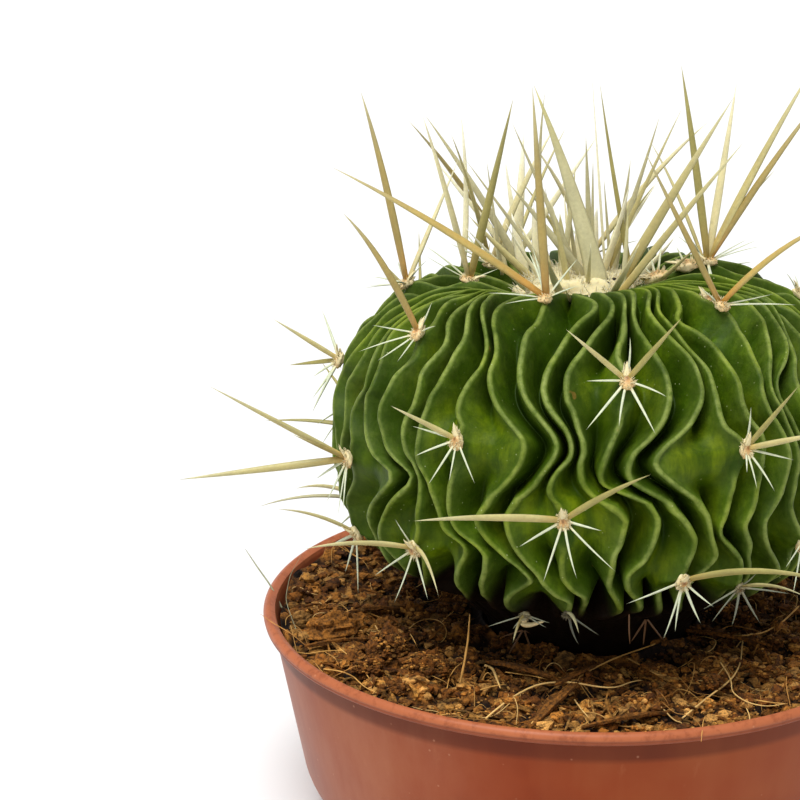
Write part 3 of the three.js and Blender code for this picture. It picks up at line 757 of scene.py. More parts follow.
def findOnSkin(pixels):  # azimuth and polar angle of the visible crest surface nearest to each pixel
    azimuths, polars = np.meshgrid(np.arange(-95, 95.1, 0.5), np.arange(10, 156.1, 0.5))
    points, side, up, normal = skinFrame(azimuths.ravel(), polars.ravel())
    seen = np.einsum("ij,ij->i", normal, eye - points) > 0
    places = pixelOf(points[seen])
    azimuths, polars = azimuths.ravel()[seen], polars.ravel()[seen]
    nearest = [np.argmin(((places - pixel) ** 2).sum(1)) for pixel in np.asarray(pixels, float)]
    return azimuths[nearest], polars[nearest]


def insideBox(tip):  # no tip leaves the part's box
    low, high = np.array(cadBox[0]) / mm, np.array(cadBox[1]) / mm
    return np.clip(tip, low + 0.4, high - 0.4)


def seatAreoles():
    placed = placeAreoles()
    azimuths, polars = findOnSkin([seatPixels.get(areole["number"], (0, 0)) for areole in placed])
    for areole, azimuth, polar in zip(placed, azimuths, polars):
        lift = spine["gap"] + 0.3 * spine["padHeight"]
        point, side, up, normal = skinFrame(np.array(areole["azimuth"]), np.array(areole["polar"], float))
        areole["tips"] = [point + normal * lift + np.array([right, back, rise], float)
                          for right, back, rise, bow in areole["centrals"]]
        for place, pixel in enumerate(centralTips.get(areole["number"], [])):
            if pixel:  # moved across the line of sight, on to its pixel
                ray, tip = rayThrough(pixel), areole["tips"][place]
                areole["tips"][place] = eye + ray * (((tip - eye) @ ahead) / (ray @ ahead))
        areole["tips"] = [insideBox(tip + 0.035 * (tip - point)) for tip in areole["tips"]]
        if areole["number"] in seatPixels:
            areole["azimuth"], areole["polar"] = float(azimuth), float(polar)
    return placed


def smoothRows(lines, rows):
    half = math.ceil(3 * rows)
    reach = np.arange(-half, half + 1)
    weights = np.exp(-(reach / rows) ** 2 / 2)
    padded = np.pad(lines, ((0, 0), (half, half)), mode="edge")
    return np.stack([np.convolve(line, weights / weights.sum(), "valid") for line in padded])


areoles = seatAreoles()


def ribLines(polars):  # azimuth of every crest at every row, in order round the body
    traced, ends = [], []
    for trace in crestTraces:
        azimuth, polar = findOnSkin(trace)
        polar = np.maximum.accumulate(polar + np.arange(len(polar)) * 1e-3)
        middle = azimuth[(polar > 40) & (polar < 125)].mean()
        shown = smoothStep(polars, polar[0] - 18, polar[0])
        shown = shown * (1 - smoothStep(polars, polar[-1], polar[-1] + 20))
        traced.append(np.interp(polars, polar, azimuth))
        ends.append((middle, shown))
    middles = np.array([middle for middle, shown in ends])
    lines = np.array([middle + (line - middle) * (0.35 + 0.65 * shown)
                      for line, (middle, shown) in zip(traced, ends)])
    left = body["ribs"] - len(lines)  # the other ribs share the rest of the round
    free = 360 - (middles[-1] - middles[0])
    index = np.arange(left)[:, None]
    rest = middles[-1] + free * (index + 1) / (left + 1)
    wave = 2.5 * np.sin(2 * math.pi * (polars / 64 + 0.13 * index) + 1.4 * np.sin(0.8 * index))
    wave = wave + 1.3 * np.sin(2 * math.pi * polars / 29 + 2.1 * index)
    fromLeft, fromRight = np.exp(-(index[::-1] + 1) / 2), np.exp(-(index + 1) / 2)
    others = rest + wave * (1 - fromLeft - fromRight) * smoothStep(polars, 15, 40)
    others += fromRight * (lines[-1] - middles[-1]) + fromLeft * (lines[0] - middles[0])
    return np.concatenate([lines, others])


def pullToAreoles(lines, polars):  # the nearest crest runs through each areole, and the next ones stand off
    perDegree = math.radians(1) * crestLine(polars)[0]
    ribOf = []
    for areole in areoles:
        row = int(np.argmin(np.abs(polars - areole["polar"])))
        apart = wrapDegrees(lines[:, row] - areole["azimuth"])
        rib = int(np.argmin(np.abs(apart)))
        along = (polars - areole["polar"]) * sourceRibs["millimetresPerDegree"]
        across = wrapDegrees(lines - lines[rib][None]) * perDegree
        lines = lines - apart[rib] * bell(across / body["pullAcross"], along / body["pullAlong"])
        if areole["number"] > body["tracedAreoles"]:  # the traced crests bow round the others already
            lines = lines + 0.45 * across / perDegree * bell(across / 6.5, along / 6.5)
        ribOf.append(rib)
    return lines, ribOf


def keepApart(lines, polars):  # crests never touch
    least = np.minimum(body["leastGap"] / (math.radians(1) * crestLine(polars)[0]), 4.5)
    for turn in range(body["gapRounds"]):
        gaps = np.roll(lines, -1, 0) - lines
        gaps[-1] += 360
        short = np.maximum(least - gaps, 0) * 0.5
        lines = lines - short + np.roll(short, 1, 0)
    return lines


def valleysOf(lines):  # the valleys before and after each crest, and the next crest
    after = np.roll(lines, -1, 0)
    after[-1] += 360
    valleys = smoothRows((lines + after) / 2, body["valleySmooth"])
    room = body["valleyRoom"] * (after - lines)
    valleys = np.clip(valleys, lines + room, after - room)
    before = np.roll(valleys, 1, 0)
    before[0] -= 360
    return before, valleys, after


def markAreoles(lines, polars, ribOf, swell):  # what the areoles do to their ribs and valleys; changes swell
    broad, calm, paintedGlow, pit = np.zeros((4, *lines.shape))
    for areole, rib in zip(areoles, ribOf):
        along = (polars - areole["polar"]) * sourceRibs["millimetresPerDegree"]
        soft = softSheets.get(areole["number"], 0.5) * float(smoothStep(areole["polar"], 34, 48))
        below = 2.6 if areole["polar"] < 40 else -3.2  # where the valleys beside it open into pits
        swell[rib] += body["knobHeight"] * bell(0, along / body["knobReach"])
        swell[rib] -= body["notchDepth"] * bell(0, (along - body["notchDrop"]) / body["notchReach"]) * 0.6
        flat = soft * smoothStep(along, -1.4, 1.2) * (1 - smoothStep(along, 4, 9))
        broad[rib] = np.maximum(broad[rib], flat)
        near = soft * bell(0, (along - 1) / 5.5)
        for side in (rib - 1, rib):
            calm[side] = np.maximum(calm[side], near)
            lit = soft * bell(0, along / 7) * (0.5 + 0.5 * draw(areole["number"] + side))
            paintedGlow[side] = np.maximum(paintedGlow[side], lit)
            pit[side] = np.maximum(pit[side], bell(0, (along - below) / 1.9) * (1 - 0.7 * soft))
    for rib in range(len(lines)):  # a few more valleys get painted glow, as if light shone through
        high = 35 + 75 * draw(rib + 0.4)
        lit = bell(0, (polars - high) / 9) * smoothStep(draw(rib + 0.7), 0.35, 0.8)
        paintedGlow[rib] = np.maximum(paintedGlow[rib], lit)
    return broad, calm, paintedGlow, pit


def ribFlank(sign, line, valley, bead, depth, light, soft, merged, swell, fade):
    # azimuth, drop, crest mark, sink mark and painted glow of each column from a crest to its valley
    width = sign * np.minimum(bead, 0.45 * np.abs(valley - line))
    plain = (1 - soft) * (1 - merged)
    sunken = smoothStep(depth, body["sinkStart"], body["sinkEnd"])
    flank = []
    for angle in np.radians(body["beadAngles"]):
        drop = body["beadRound"] * (1 - math.cos(angle)) * fade * (1 - 0.5 * soft)
        flank.append((line + width * math.sin(angle), drop - swell,
                      math.cos(angle) ** 0.8 * plain, 0.8 * merged, 0 * line))
    start = line + width * 0.96
    top = body["beadRound"] * fade * (1 - 0.5 * soft)
    for share in body["flankShares"]:
        sink = (1 - soft) * (1 - (1 - share) ** 1.4) + soft * (share * share * (3 - 2 * share))
        flank.append((start + (valley - start) * share,
                      top + (depth - top) * sink - swell * (1 - share) ** 2,
                      0.3 * (1 - share) ** 2 * plain,
                      np.maximum(sink * sunken, 0.8 * merged),
                      light * (1 - abs(share - 0.55) * 1.6)))
    return flank


def makeSkin():
    polars = np.linspace(body["polarLast"], body["polarFirst"], body["rows"])
    lines = pullToAreoles(ribLines(polars), polars)[0]
    lines = keepApart(smoothRows(lines, body["lineSmooth"]), polars)
    lines, ribOf = pullToAreoles(lines, polars)
    before, valleys, after = valleysOf(lines)
    radius = crestLine(polars)[0]
    perDegree = math.radians(1) * radius
    fade = smoothStep(radius, body["crownFadeStart"], body["crownFadeEnd"])
    fade = fade * (1 - smoothStep(polars, body["neckFadeStart"], body["polarLast"] + 4))
    index = np.arange(len(lines))[:, None]
    swell = fade * (0.25 * np.sin(polars / 7.3 + 2.3 * index) + 0.18 * np.sin(polars / 3.1 + 4.7 * index))
    broad, calm, paintedGlow, pit = markAreoles(lines, polars, ribOf, swell)
    sheet = np.sqrt(np.maximum(body["sheetWidth"] ** 2 - ((after - lines) * perDegree) ** 2, 6.0)) / 2
    sheet = smoothRows(np.minimum(sheet, body["ribDepth"]), body["sheetSmooth"]) * (1 - 0.55 * calm)
    sheet = np.maximum(sheet, (body["ribDepth"] - 0.6) * pit) * fade
    merged = np.zeros_like(lines)  # away from the picture, every other crest fades out towards the crown
    merged[len(crestTraces) + 1:-1:2] = 1 - smoothStep(polars, body["mergeEnd"], body["mergeStart"])
    swell = swell - 0.92 * merged * np.minimum(sheet, np.roll(sheet, 1, 0))
    slope = np.gradient(lines, polars, axis=1) * perDegree / sourceRibs["millimetresPerDegree"]
    bead = body["beadWidth"] / perDegree * np.sqrt(1 + np.minimum(slope ** 2, 4)) * (1 + 1.6 * broad)
    sunken = smoothStep(sheet, body["sinkStart"], body["sinkEnd"])
    columns = []
    for rib in range(len(lines)):
        rest = (broad[rib], merged[rib], swell[rib], fade)
        left = ribFlank(-1, lines[rib], before[rib], bead[rib], sheet[rib - 1], paintedGlow[rib - 1], *rest)
        right = ribFlank(1, lines[rib], valleys[rib], bead[rib], sheet[rib], paintedGlow[rib], *rest)
        bottom = (valleys[rib], sheet[rib], 0 * polars, sunken[rib], 0.45 * paintedGlow[rib])
        columns += [*left[:0:-1], *right, bottom]  # the crest is in both flanks
    azimuth, drop, crest, sink, light = (np.array(part) for part in zip(*columns))
    point, side, up, normal = skinFrame(azimuth, np.broadcast_to(polars, azimuth.shape))
    relief = 0
    for size, height in (body["lumps"], body["fineLumps"]):
        relief = relief + height * noiseAt(point.reshape(-1, 3), size).reshape(azimuth.shape)
    point = point - normal * (drop - relief * fade * (1 - 0.7 * crest))[..., None]
    neck = []
    for reach, height in ((0.02, body["rootHeight"] - body["rootPoint"]),
                          (body["rootRadius"], body["rootHeight"]),
                          (body["neckRadius"], body["neckHeight"])):
        out = unit(point[:, 0, :2] - (body["offset"], 0)) * reach
        neck.append(np.concatenate([out + (body["offset"], 0), np.full((len(out), 1), height)], 1))
    top = point[:, -1].mean(0)
    closing = [point[:, -1] * 0.4 + top * 0.6, np.tile(top, (len(point), 1))]
    skin = rolledGrid("cactusSkin", np.array([*neck, *np.moveaxis(point, 1, 0), *closing]))
    # painted shade with the cork, below these polar angles
    corkAndShade = np.broadcast_to(smoothStep(polars, body["corkAndShadeStart"], body["corkAndShadeEnd"]), azimuth.shape)
    for name, values in {"crest": crest, "sink": sink, "paintedGlow": light, "corkAndShade": corkAndShade}.items():
        ends = np.repeat(values[:, :1], len(neck), 1), np.repeat(values[:, -1:], len(closing), 1)
        values = np.concatenate([ends[0], values, ends[1]], 1).T
        markPoints(skin, name, np.concatenate([values, values[:, :1]], 1))
    weldGrid(skin, 0.002, waxySkin)
    seat(skin, "cactus_skin", "cactus_body")
    print("skin", len(skin.data.polygons), "faces")


makeSkin()


# Spines

fleece = linear(220, 207, 160)
ivory, cream, ash = linear(214, 220, 188), linear(238, 222, 172), linear(198, 204, 168)
rust, tawny = linear(200, 128, 40), linear(214, 162, 88)
tones = {  # root, middle, tip and the stripe along the middle
    "honey": (linear(206, 146, 64), linear(184, 164, 94), linear(194, 184, 136), linear(192, 148, 66)),
    "brown": (linear(188, 142, 72), linear(164, 146, 86), linear(184, 176, 130), linear(156, 130, 66)),
    "olive": (linear(182, 156, 86), linear(160, 152, 88), linear(160, 153, 98), linear(150, 133, 68)),
    "straw": (linear(196, 168, 94), linear(192, 182, 124), linear(202, 196, 152), linear(180, 158, 90)),
    "pale": (linear(214, 196, 140), linear(222, 213, 164), linear(238, 231, 192), linear(208, 190, 130)),
    "papery": (linear(214, 208, 166), linear(206, 199, 152), linear(188, 181, 122), linear(208, 203, 160)),
    "grey": (linear(206, 198, 154), linear(190, 184, 144), linear(178, 172, 130), linear(174, 165, 118)),
    "milky": (linear(236, 226, 182), linear(244, 237, 198), linear(253, 249, 224), linear(240, 231, 186)),
}
centralTones = {  # the others are drawn
    1: ["straw"], 2: ["straw", "olive"], 3: ["straw", "olive"], 5: ["olive"], 8: ["brown"],
    9: ["straw", "straw", "brown"], 12: ["brown", "pale"], 17: ["brown", "honey"], 18: ["honey", "brown"],
    19: ["pale", "olive"], 20: ["olive", "pale", "straw", "brown"],
}

# Tips of the white radial spines that the picture shows, in pixels, by areole
radialTips = {
    1: [(412, 426), (415, 456), (428, 485), (449, 482), (475, 484)],
    2: [(519, 547), (543, 583), (577, 579), (616, 572), (602, 531)],
    3: [(586, 381), (586, 430), (619, 427), (656, 435), (667, 397), (630, 337)],
    4: [(751, 407), (794, 460), (775, 492), (757, 489), (747, 473)],
    5: [(626, 604), (663, 640), (675, 633), (701, 624), (714, 607)],
    6: [(395, 519), (374, 576), (394, 603), (428, 600)],
    7: [(487, 627), (513, 629), (550, 623), (547, 628)],
    13: [(579, 645), (600, 636)],
    8: [(372, 325), (358, 352), (377, 361), (397, 362), (432, 302), (436, 326)],
    9: [(316, 479), (326, 503), (338, 515), (343, 510), (322, 443)],
    10: [(313, 377), (312, 399), (312, 413), (322, 310)],
    11: [(345, 573), (358, 595), (331, 545)],
    17: [(773, 294), (797, 305), (700, 288)],
    18: [(487, 293), (504, 304), (579, 257), (578, 286), (528, 250), (532, 246)],
    19: [(424, 245), (424, 255), (500, 268)],
    20: [(757, 240), (748, 239), (676, 235), (714, 296), (716, 292), (763, 246)],
}
spikeShape, hairShape = tubeShape(8, 10), tubeShape(3, 4)
padShape = ballShape(3)


def grow(shape, root, tip, bow, width, thickness, facing, taper=1.6, waist=0.28):  # bends a unit spine
    x, y, z = (part[:, None] for part in shape[0].T)
    middle = (root + tip) / 2 + bow
    centre = (1 - z) ** 2 * root + 2 * z * (1 - z) * middle + z * z * tip
    along = unit((1 - z) * (middle - root) + z * (tip - middle))
    across = unit(np.cross(along, facing))
    over = np.cross(along, across)
    size = (1 - waist + waist * np.sin(np.minimum(z / 0.36, 1) * math.pi / 2)) * (1 - z ** taper)
    return centre + across * x * size * width / 2 + over * y * size * thickness / 2


def addSpine(pile, shape, tint, *form):
    addCopy(pile, shape, grow(shape, *form), tint)


def shaded(base, middle, tip, core, seed=0.0):  # colour from root to tip, with a stripe along the middle
    x, z = spikeShape[0][:, :1], spikeShape[0][:, 2:]
    tint = base * (1 - smoothStep(z, 0.03, 0.22)) + middle * smoothStep(z, 0.03, 0.22)
    tint = tint * (1 - smoothStep(z, 0.5, 1)) + tip * smoothStep(z, 0.5, 1)
    stripe = (1 - smoothStep(np.abs(x + 0.2), 0.2, 0.8)) * (1 - z) * 0.6
    banded = 1 + 0.1 * np.sin(17 * z + 6 * seed) * np.sin(7 * z + 11 * seed + 1)
    return (tint * (1 - stripe) + core * stripe) * banded


def tipFromPicture(root, normal, pixel):
    facing = unit(normal + 0.8 * unit(eye - root))
    ray = rayThrough(pixel)
    tip = eye + ray * (((root + normal * spine["radialLift"] - eye) @ facing) / (ray @ facing))
    reach = np.linalg.norm(tip - root)
    return root + (tip - root) * min(1, spine["radialReach"] / reach)


def addFelt(pile, seatPoint, side, up, normal, seed, size=1.0, tone=1.0):
    ball = padShape[0]
    lumps = noiseAt(ball * 2.6 + (seed, 0, 0))[:, None]
    ball = ball * (1 + 0.3 * lumps)
    x, y, z = ball[:, :1], ball[:, 1:2], ball[:, 2:]
    points = (seatPoint + side * x * (1 - 0.3 * y) * spine["padWidth"] * 0.84 * size
              + up * (y - 0.05) * spine["padLength"] * 0.9 * size
              + normal * z * spine["padHeight"] * 0.8 * size)
    pit = bell(x / 0.5, (y - 0.1) / 0.42) * smoothStep(z, 0.1, 0.7)
    # painted shade: the middle of the pad is darkened as a hollow
    hole = bell(x / 0.2, (y - 0.12) / 0.18) * smoothStep(z, 0.3, 0.8)
    aged = 0.55 * smoothStep(-y, -0.3, 0.8)  # older and more amber below
    tint = (cream * (1 - aged) + tawny * aged) * (1 - 0.85 * pit) + rust * 0.85 * pit
    addCopy(pile, padShape, points, tint * (1 - 0.75 * hole) * (0.86 + 0.5 * np.abs(lumps)) * tone)
    for number in range(spine["padHairs"]):
        spin = 2 * math.pi * draw(seed + number * 1.37)
        rise = math.sqrt(0.15 + 0.85 * draw(seed + 31 + number * 2.11))
        flat = np.array([math.cos(spin) * rise, math.sin(spin) * rise])
        root = (seatPoint + side * flat[0] * spine["padWidth"] * 0.8 * size
                + up * flat[1] * spine["padLength"] * 0.85 * size
                + normal * 0.7 * spine["padHeight"] * size * math.sqrt(max(0, 1 - rise * rise)))
        away = unit(side * flat[0] * 1.2 + up * (flat[1] * 1.2 + 0.2) + normal * 0.8)
        long = (0.45 + 0.6 * draw(seed + 57 + number)) * size
        bow = (side * (draw(seed + number + 3) - 0.5) + up * (draw(seed + number + 5) - 0.5)) * 0.5
        addSpine(pile, hairShape, cream * (0.8 + 0.2 * draw(seed + number + 8)) * tone,
                 root, root + away * long, bow, spine["hairWidth"], spine["hairWidth"], side + 0.1)
    root = seatPoint + up * 0.6 * size + normal * 0.4
    tip = seatPoint + (up * 3.1 + side * 0.9 * (draw(seed + 190) - 0.5)) * size + normal * 1.5
    addSpine(pile, spikeShape, cream * tone,  # a broad flake of felt above the pad
             root, tip, normal * 0.3, 1.5 * size, 0.7 * size, normal, 1.1, -0.1)
    for number in range(spine["tuftHairs"]):  # pointed wisp round the flake above the spines
        spread = (draw(seed + 200 + number) - 0.5) * 1.7
        root = seatPoint + up * 0.9 * size + side * spread * size + normal * 0.5
        rise = up * (2.2 + 0.9 * draw(seed + 230 + number)) * size
        addSpine(pile, hairShape, cream * tone, root, seatPoint + rise + side * spread * 0.45 + normal * 1.4,
                 normal * 0.25, spine["hairWidth"], spine["hairWidth"], side + 0.1)


shadedLowSprays = {7: 0.45, 13: 0.16, 14: 0.35}  # old sprays low under the body are darkened: partly their brown age, partly painted shade
stoutRadials = {9: 1.3, 10: 1.8, 11: 1.3}
woolTrails = {17: (707, 301)}  # old wool beside an areole, in pixels


def makeSpray(areole):
    seed = areole["seed"]
    point, side, up, normal = skinFrame(np.array(areole["azimuth"]), np.array(areole["polar"], float))
    lift = body["knobHeight"] - body["notchDepth"] * bell(0, body["notchDrop"] / body["notchReach"])
    root = point + normal * (lift + spine["gap"] + spine["padHeight"] * 0.3)
    pile = newPile()
    # painted shade on the sprays low under the body
    sprayShade = shadedLowSprays.get(areole["number"], 1.0)
    size = 0.85 if sprayShade == 1 else 0.6
    addFelt(pile, root, side, up, normal, seed, size, sprayShade)
    if areole["number"] in woolTrails:
        azimuth, polar = findOnSkin([woolTrails[areole["number"]]])
        trail, *around = skinFrame(azimuth[0], polar[0])
        addFelt(pile, trail + around[2] * lift, *around, seed + 400, 0.75, 1.15)
    tips = [tipFromPicture(root, normal, pixel) for pixel in radialTips.get(areole["number"], [])]
    if not tips:
        for number, clock in enumerate(spine["radialClocks"]):
            drawn = seed + number
            direction = sprayDirection(side, up, normal, clock + 22 * (draw(drawn) - 0.5),
                                       spine["radialTilt"] + 8 * (draw(drawn + 50) - 0.5))
            length = spine["radialLength"] * (0.8 + 0.35 * draw(drawn + 90)) * (0.6 if clock < 90 else 1)
            tips.append(root + direction * length)
    for number, tip in enumerate(tips):
        start = root + unit(tip - root) * 0.7
        bow = normal * (0.7 * draw(seed + number + 11) - 0.2) + side * (draw(seed + number + 17) - 0.5) * 0.9
        width = spine["radialWidth"] * (0.85 + 0.4 * draw(seed + number + 23))
        width *= stoutRadials.get(areole["number"], 1)
        tint = shaded(cream, ivory, ash, ivory) * (0.86 + 0.14 * draw(seed + number + 29)) * sprayShade
        addSpine(pile, spikeShape, tint, start, tip, bow, width, width * 0.6, normal, 2.6, 0.1)
    kinds = ["straw", "pale", "grey"]
    if areole["polar"] > 40:
        kinds = ["straw", "olive", "brown", "straw", "grey"]
    known = centralTones.get(areole["number"], [])
    for number, (central, tip) in enumerate(zip(areole["centrals"], areole["tips"])):
        length = np.linalg.norm(tip - root)
        width = spine["centralWidth"] + spine["centralWidthGain"] * length
        facing = unit(normal + 0.4 * np.array([0, -1, 0.3]))
        drawn = kinds[int(len(kinds) * draw(seed + number + 61))]
        tone = known[number] if number < len(known) else drawn
        tint = shaded(*tones[tone], draw(seed + number + 67)) * (0.55 + 0.45 * sprayShade)
        start = root - unit(tip - root) * 0.3
        addSpine(pile, spikeShape, tint, start, tip, np.array([0, 0, 2 * central[3]]),
                 width * 1.12, width * spine["centralFlatness"], facing, 2.1, 0.36)
    piece = pilePiece(f"spray_{areole['number']:02d}", pile, spineHorn)
    seat(piece, "spine", f"spines_{areole['number']:02d}")


for areole in areoles:
    makeSpray(areole)
print("sprays", len(areoles))


def strandPoints(shape, spots, width, taper=0.75):  # a tube along a line of spots
    steps = len(spots) - 1
    x, y, z = (part[:, None] for part in shape[0].T)
    spots = np.asarray(spots, float)
    index = np.clip(z[:, 0] * steps, 0, steps)

    def between(values):
        return np.stack([np.interp(index, np.arange(steps + 1), column) for column in values.T], -1)

    centre, along = between(spots), unit(between(np.gradient(spots, axis=0)))
    across = unit(np.cross(along, np.array([0.01, 0.02, 1])))
    over = np.cross(along, across)
    size = 1 - taper * z ** 4
    return centre + (across * x + over * y) * size * width / 2


def softened(spots, count):  # a rounded line through a few spots
    steps = np.linspace(0, len(spots) - 1, count)
    spots = np.stack([np.interp(steps, np.arange(len(spots)), column) for column in zip(*spots)])
    return smoothRows(spots, count / 18).T


# Dry spines under the plant: width, colour, depth and pixels
dryBrown, dryPale = linear(122, 88, 56), linear(232, 212, 160)
oldSpines = [
    (1.2, dryPale, -34.3, [(526, 611), (524, 617), (523, 624), (530, 625), (546, 621)]),
    (0.34, dryBrown, -17.2, [(523, 630), (508, 656)]), (0.34, dryBrown, -17.2, [(524, 630), (534, 657)]),
    (0.34, dryBrown, -17.2, [(523, 630), (502, 637)]), (0.34, dryBrown, -17.2, [(524, 630), (548, 640)]),
    (0.36, dryBrown, -24, [(646, 619), (631, 642)]), (0.36, dryBrown, -24, [(646, 619), (643, 646)]),
    (0.36, dryBrown, -24, [(647, 619), (663, 640)]), (0.34, dryBrown, -24, [(646, 618), (631, 611)]),
    (0.34, dryBrown, -24, [(647, 618), (664, 612)]),
    (0.3, dryBrown, -33.5, [(629, 606), (629, 630), (630, 645)]),
]


def makeOldSpines():
    pile, strand = newPile(), tubeShape(6, 20)
    for width, tint, depth, pixels in oldSpines:
        spots = np.array([pointAtDepth(pixel, depth) for pixel in pixels])
        addCopy(pile, strand, strandPoints(strand, softened(spots, 21), width, 0.9), tint)
    seat(pilePiece("oldSpines", pile, spineHorn), "spine")
    print("old spines", len(oldSpines))


makeOldSpines()


# Crown

crown = {
    "middle": (-1, 2.5), "radius": 11.4, "height": 5.4, "woolHairs": 600, "woolWidth": 0.18,
    "shortSpines": 16, "rootPixel": 285, "rootRise": 2.2,
}

# Root pixel across and its depth behind the axis, tip pixel, how far the tip leans back, width, tone
# and bow across
crownBlades = [
    (601, -2, (536, 92), 2, 3.6, "papery", 1.5),
    (545, 6, (545, 98), 3, 1.1, "grey", -2),
    (585, 2, (514, 127), 3, 1.1, "grey", 0),
    (598, 0, (512, 187), 0, 1.6, "grey", 0),
    (514, 18, (523, 134), 6, 2.0, "milky", 0.5),
    (520, 19, (505, 160), 4, 1.2, "milky", 0),
    (556, 6, (468, 163), 3, 0.8, "grey", 0),
    (502, 10, (487, 163), 2, 0.7, "grey", 0),
    (523, 12, (428, 120), 5, 1.5, "grey", 1.5),
    (518, 17, (432, 157), 4, 1.2, "milky", 0.5),
    (463, 15, (460, 113), 4, 1.1, "milky", 1.5),
    (591, 4, (586, 140), 2, 1.3, "grey", 0),
    (592, 1, (593, 162), 1, 0.8, "grey", 0),
    (606, 5, (592, 66), 4, 0.5, "milky", 0),
    (634, 2, (601, 90), 3, 1.0, "olive", -0.5),
    (513, 20, (598, 135), 5, 1.3, "milky", 0),
    (612, 3, (604, 180), 2, 0.7, "grey", 0),
    (610, 6, (630, 163), 3, 1.2, "grey", 0.5),
    (604, 7, (658, 121), 3, 1.1, "grey", 0.5),
    (600, 3, (680, 113), 2, 1.0, "straw", -0.5),
    (614, -1, (729, 105), 1, 1.9, "straw", -0.5),
    (614, -6, (739, 148), -1, 1.4, "straw", -0.5),
    (600, 16, (657, 182), 4, 0.9, "milky", 0),
    (579, 4, (565, 185), 2, 0.8, "grey", 0),
    (622, -3, (628, 205), 2, 1.0, "papery", 0.3),
    (570, -3, (552, 205), 1, 1.2, "straw", 0.3),
    (560, 2, (575, 170), 4, 1.3, "papery", 0.3),
    (540, 8, (533, 205), 2, 2.2, "milky", 0),
    (565, 8, (560, 215), 2, 2.0, "papery", 0),
    (590, 8, (597, 208), 2, 2.2, "milky", 0),
    (610, 8, (622, 225), 2, 1.6, "papery", 0.3),
    (525, 10, (512, 215), 2, 2.2, "milky", 0),
    (505, 12, (492, 225), 2, 1.6, "pale", 0),
    (550, 4, (541, 230), 1, 1.8, "pale", 0),
    (580, 6, (577, 194), 3, 1.6, "milky", 0),
]
# Wool and short white spines of the young areoles at the hollow's rim: azimuth, polar angle, tips in pixels
youngAreoles = [
    (95, 7, [(648, 247), (664, 227), (640, 262)]),
    (102, 13, [(676, 246), (700, 262)]),
]
crownSpecks = [(600, 283), (606, 279), (608, 283), (614, 279), (597, 284)]  # old scraps in the wool


def makeCrown():
    pile, wool = newPile(), newPile()
    floor = np.array([*crown["middle"], 0.0])
    floor[2] = crestLine(3)[1] - body["hollowDepth"]
    shape, speck = ballShape(5), ballShape(1)
    ball = shape[0]
    lumps = (noiseAt(ball * 3.1) + 0.5 * noiseAt(ball * 9))[:, None]
    size = np.array([crown["radius"], crown["radius"], crown["height"]])
    addCopy(wool, shape, floor + ball * (1 + 0.12 * lumps) * size, fleece * (0.95 + 0.12 * lumps))
    for number in range(crown["woolHairs"]):
        spin, reach = 2 * math.pi * draw(number + 0.31), math.sqrt(draw(number * 1.7 + 5))
        out = np.array([math.cos(spin), math.sin(spin), 0])
        root = floor + out * reach * (crown["radius"] + 0.5)
        root[2] += crown["height"] * 0.95 * math.sqrt(max(0, 1 - reach * reach))
        rise = np.array([0, 0, 0.5 + 1.3 * draw(number + 99)])
        tip = root + out * (0.2 + 1.6 * reach * draw(number + 77)) + rise
        bow = np.array([draw(number + 11) - 0.5, draw(number + 12) - 0.5, draw(number + 13) - 0.5]) * 2
        addSpine(wool, hairShape, fleece * (0.9 + 0.1 * draw(number + 41)), root, tip, bow,
                 crown["woolWidth"], crown["woolWidth"], np.array([0.1, -1, 0.1]))
    for acrossPixel, depth, tipPixel, leanBack, width, tone, bow in crownBlades:
        root = pointAtDepth((acrossPixel, crown["rootPixel"]), depth)
        root[2] = floor[2] + crown["rootRise"]
        tip = pointAtDepth(tipPixel, depth + leanBack)
        tip = insideBox(tip + 0.04 * (tip - root))
        facing = np.array([0.25 * (draw(acrossPixel) - 0.5), -1, 0.3])
        taper, waist = (1.25, -0.1) if tone == "papery" and width > 3 else (1.9, 0.2)
        addSpine(pile, spikeShape, shaded(*tones[tone], draw(acrossPixel + 5)), root, tip,
                 np.array([bow, 0, 0]), width, width * 0.32, facing, taper, waist)
    for number in range(crown["shortSpines"]):
        share = math.sqrt((number + 0.5) / crown["shortSpines"])
        turn = math.radians(number * 137.508)
        out = np.array([math.cos(turn), math.sin(turn), 0])
        root = floor + out * share * crown["radius"] * 0.9 + np.array([0, 0, 1.5])
        lean = math.radians(10 + 46 * share * (0.6 + 0.6 * draw(number + 300)))
        length = 9 + 13 * draw(number + 340)
        tip = root + out * math.sin(lean) * length + np.array([0, 0, math.cos(lean) * length])
        tone = ("milky", "straw", "pale", "papery")[number % 4]
        width = 0.9 + 0.9 * draw(number + 380)
        addSpine(pile, spikeShape, shaded(*tones[tone], draw(number + 390)), root, tip, out * 0.8,
                 width, width * 0.4, unit(out + np.array([0, -1.2, 0.4])), 1.7, 0.2)
    for azimuth, polar, tips in youngAreoles:
        point, side, up, normal = skinFrame(np.array(float(azimuth)), polar)
        addFelt(pile, point + normal * 0.8, side, up, normal, azimuth, 1.15, 1.0)
        for pixel in tips:
            addSpine(pile, spikeShape, shaded(ivory, ivory, ash, cream), point,
                     tipFromPicture(point, normal, pixel), normal * 0.3, 0.5, 0.3, normal, 2.4, 0.1)
    for number, pixel in enumerate(crownSpecks):
        for depth in np.arange(-12, 4, 0.1):  # where the line of sight meets the wool
            place = pointAtDepth(pixel, depth)
            if np.linalg.norm((place - floor) / size) < 1.04:
                break
        uneven = 1 + 0.5 * (draw(np.arange(len(speck[0])) + number) - 0.5)
        scrap = speck[0] * np.array([0.4, 0.25, 0.25]) * uneven[:, None]
        addCopy(pile, speck, place + scrap, linear(34, 24, 14))
    piece = pilePiece("crownTuft", pile, spineHorn)
    seat(piece, "crown_spine", "crown_spines")
    seat(pilePiece("crownWool", wool, softFleece), "crown_spine")
    print("crown", len(piece.data.polygons), "faces")


makeCrown()


# Soil

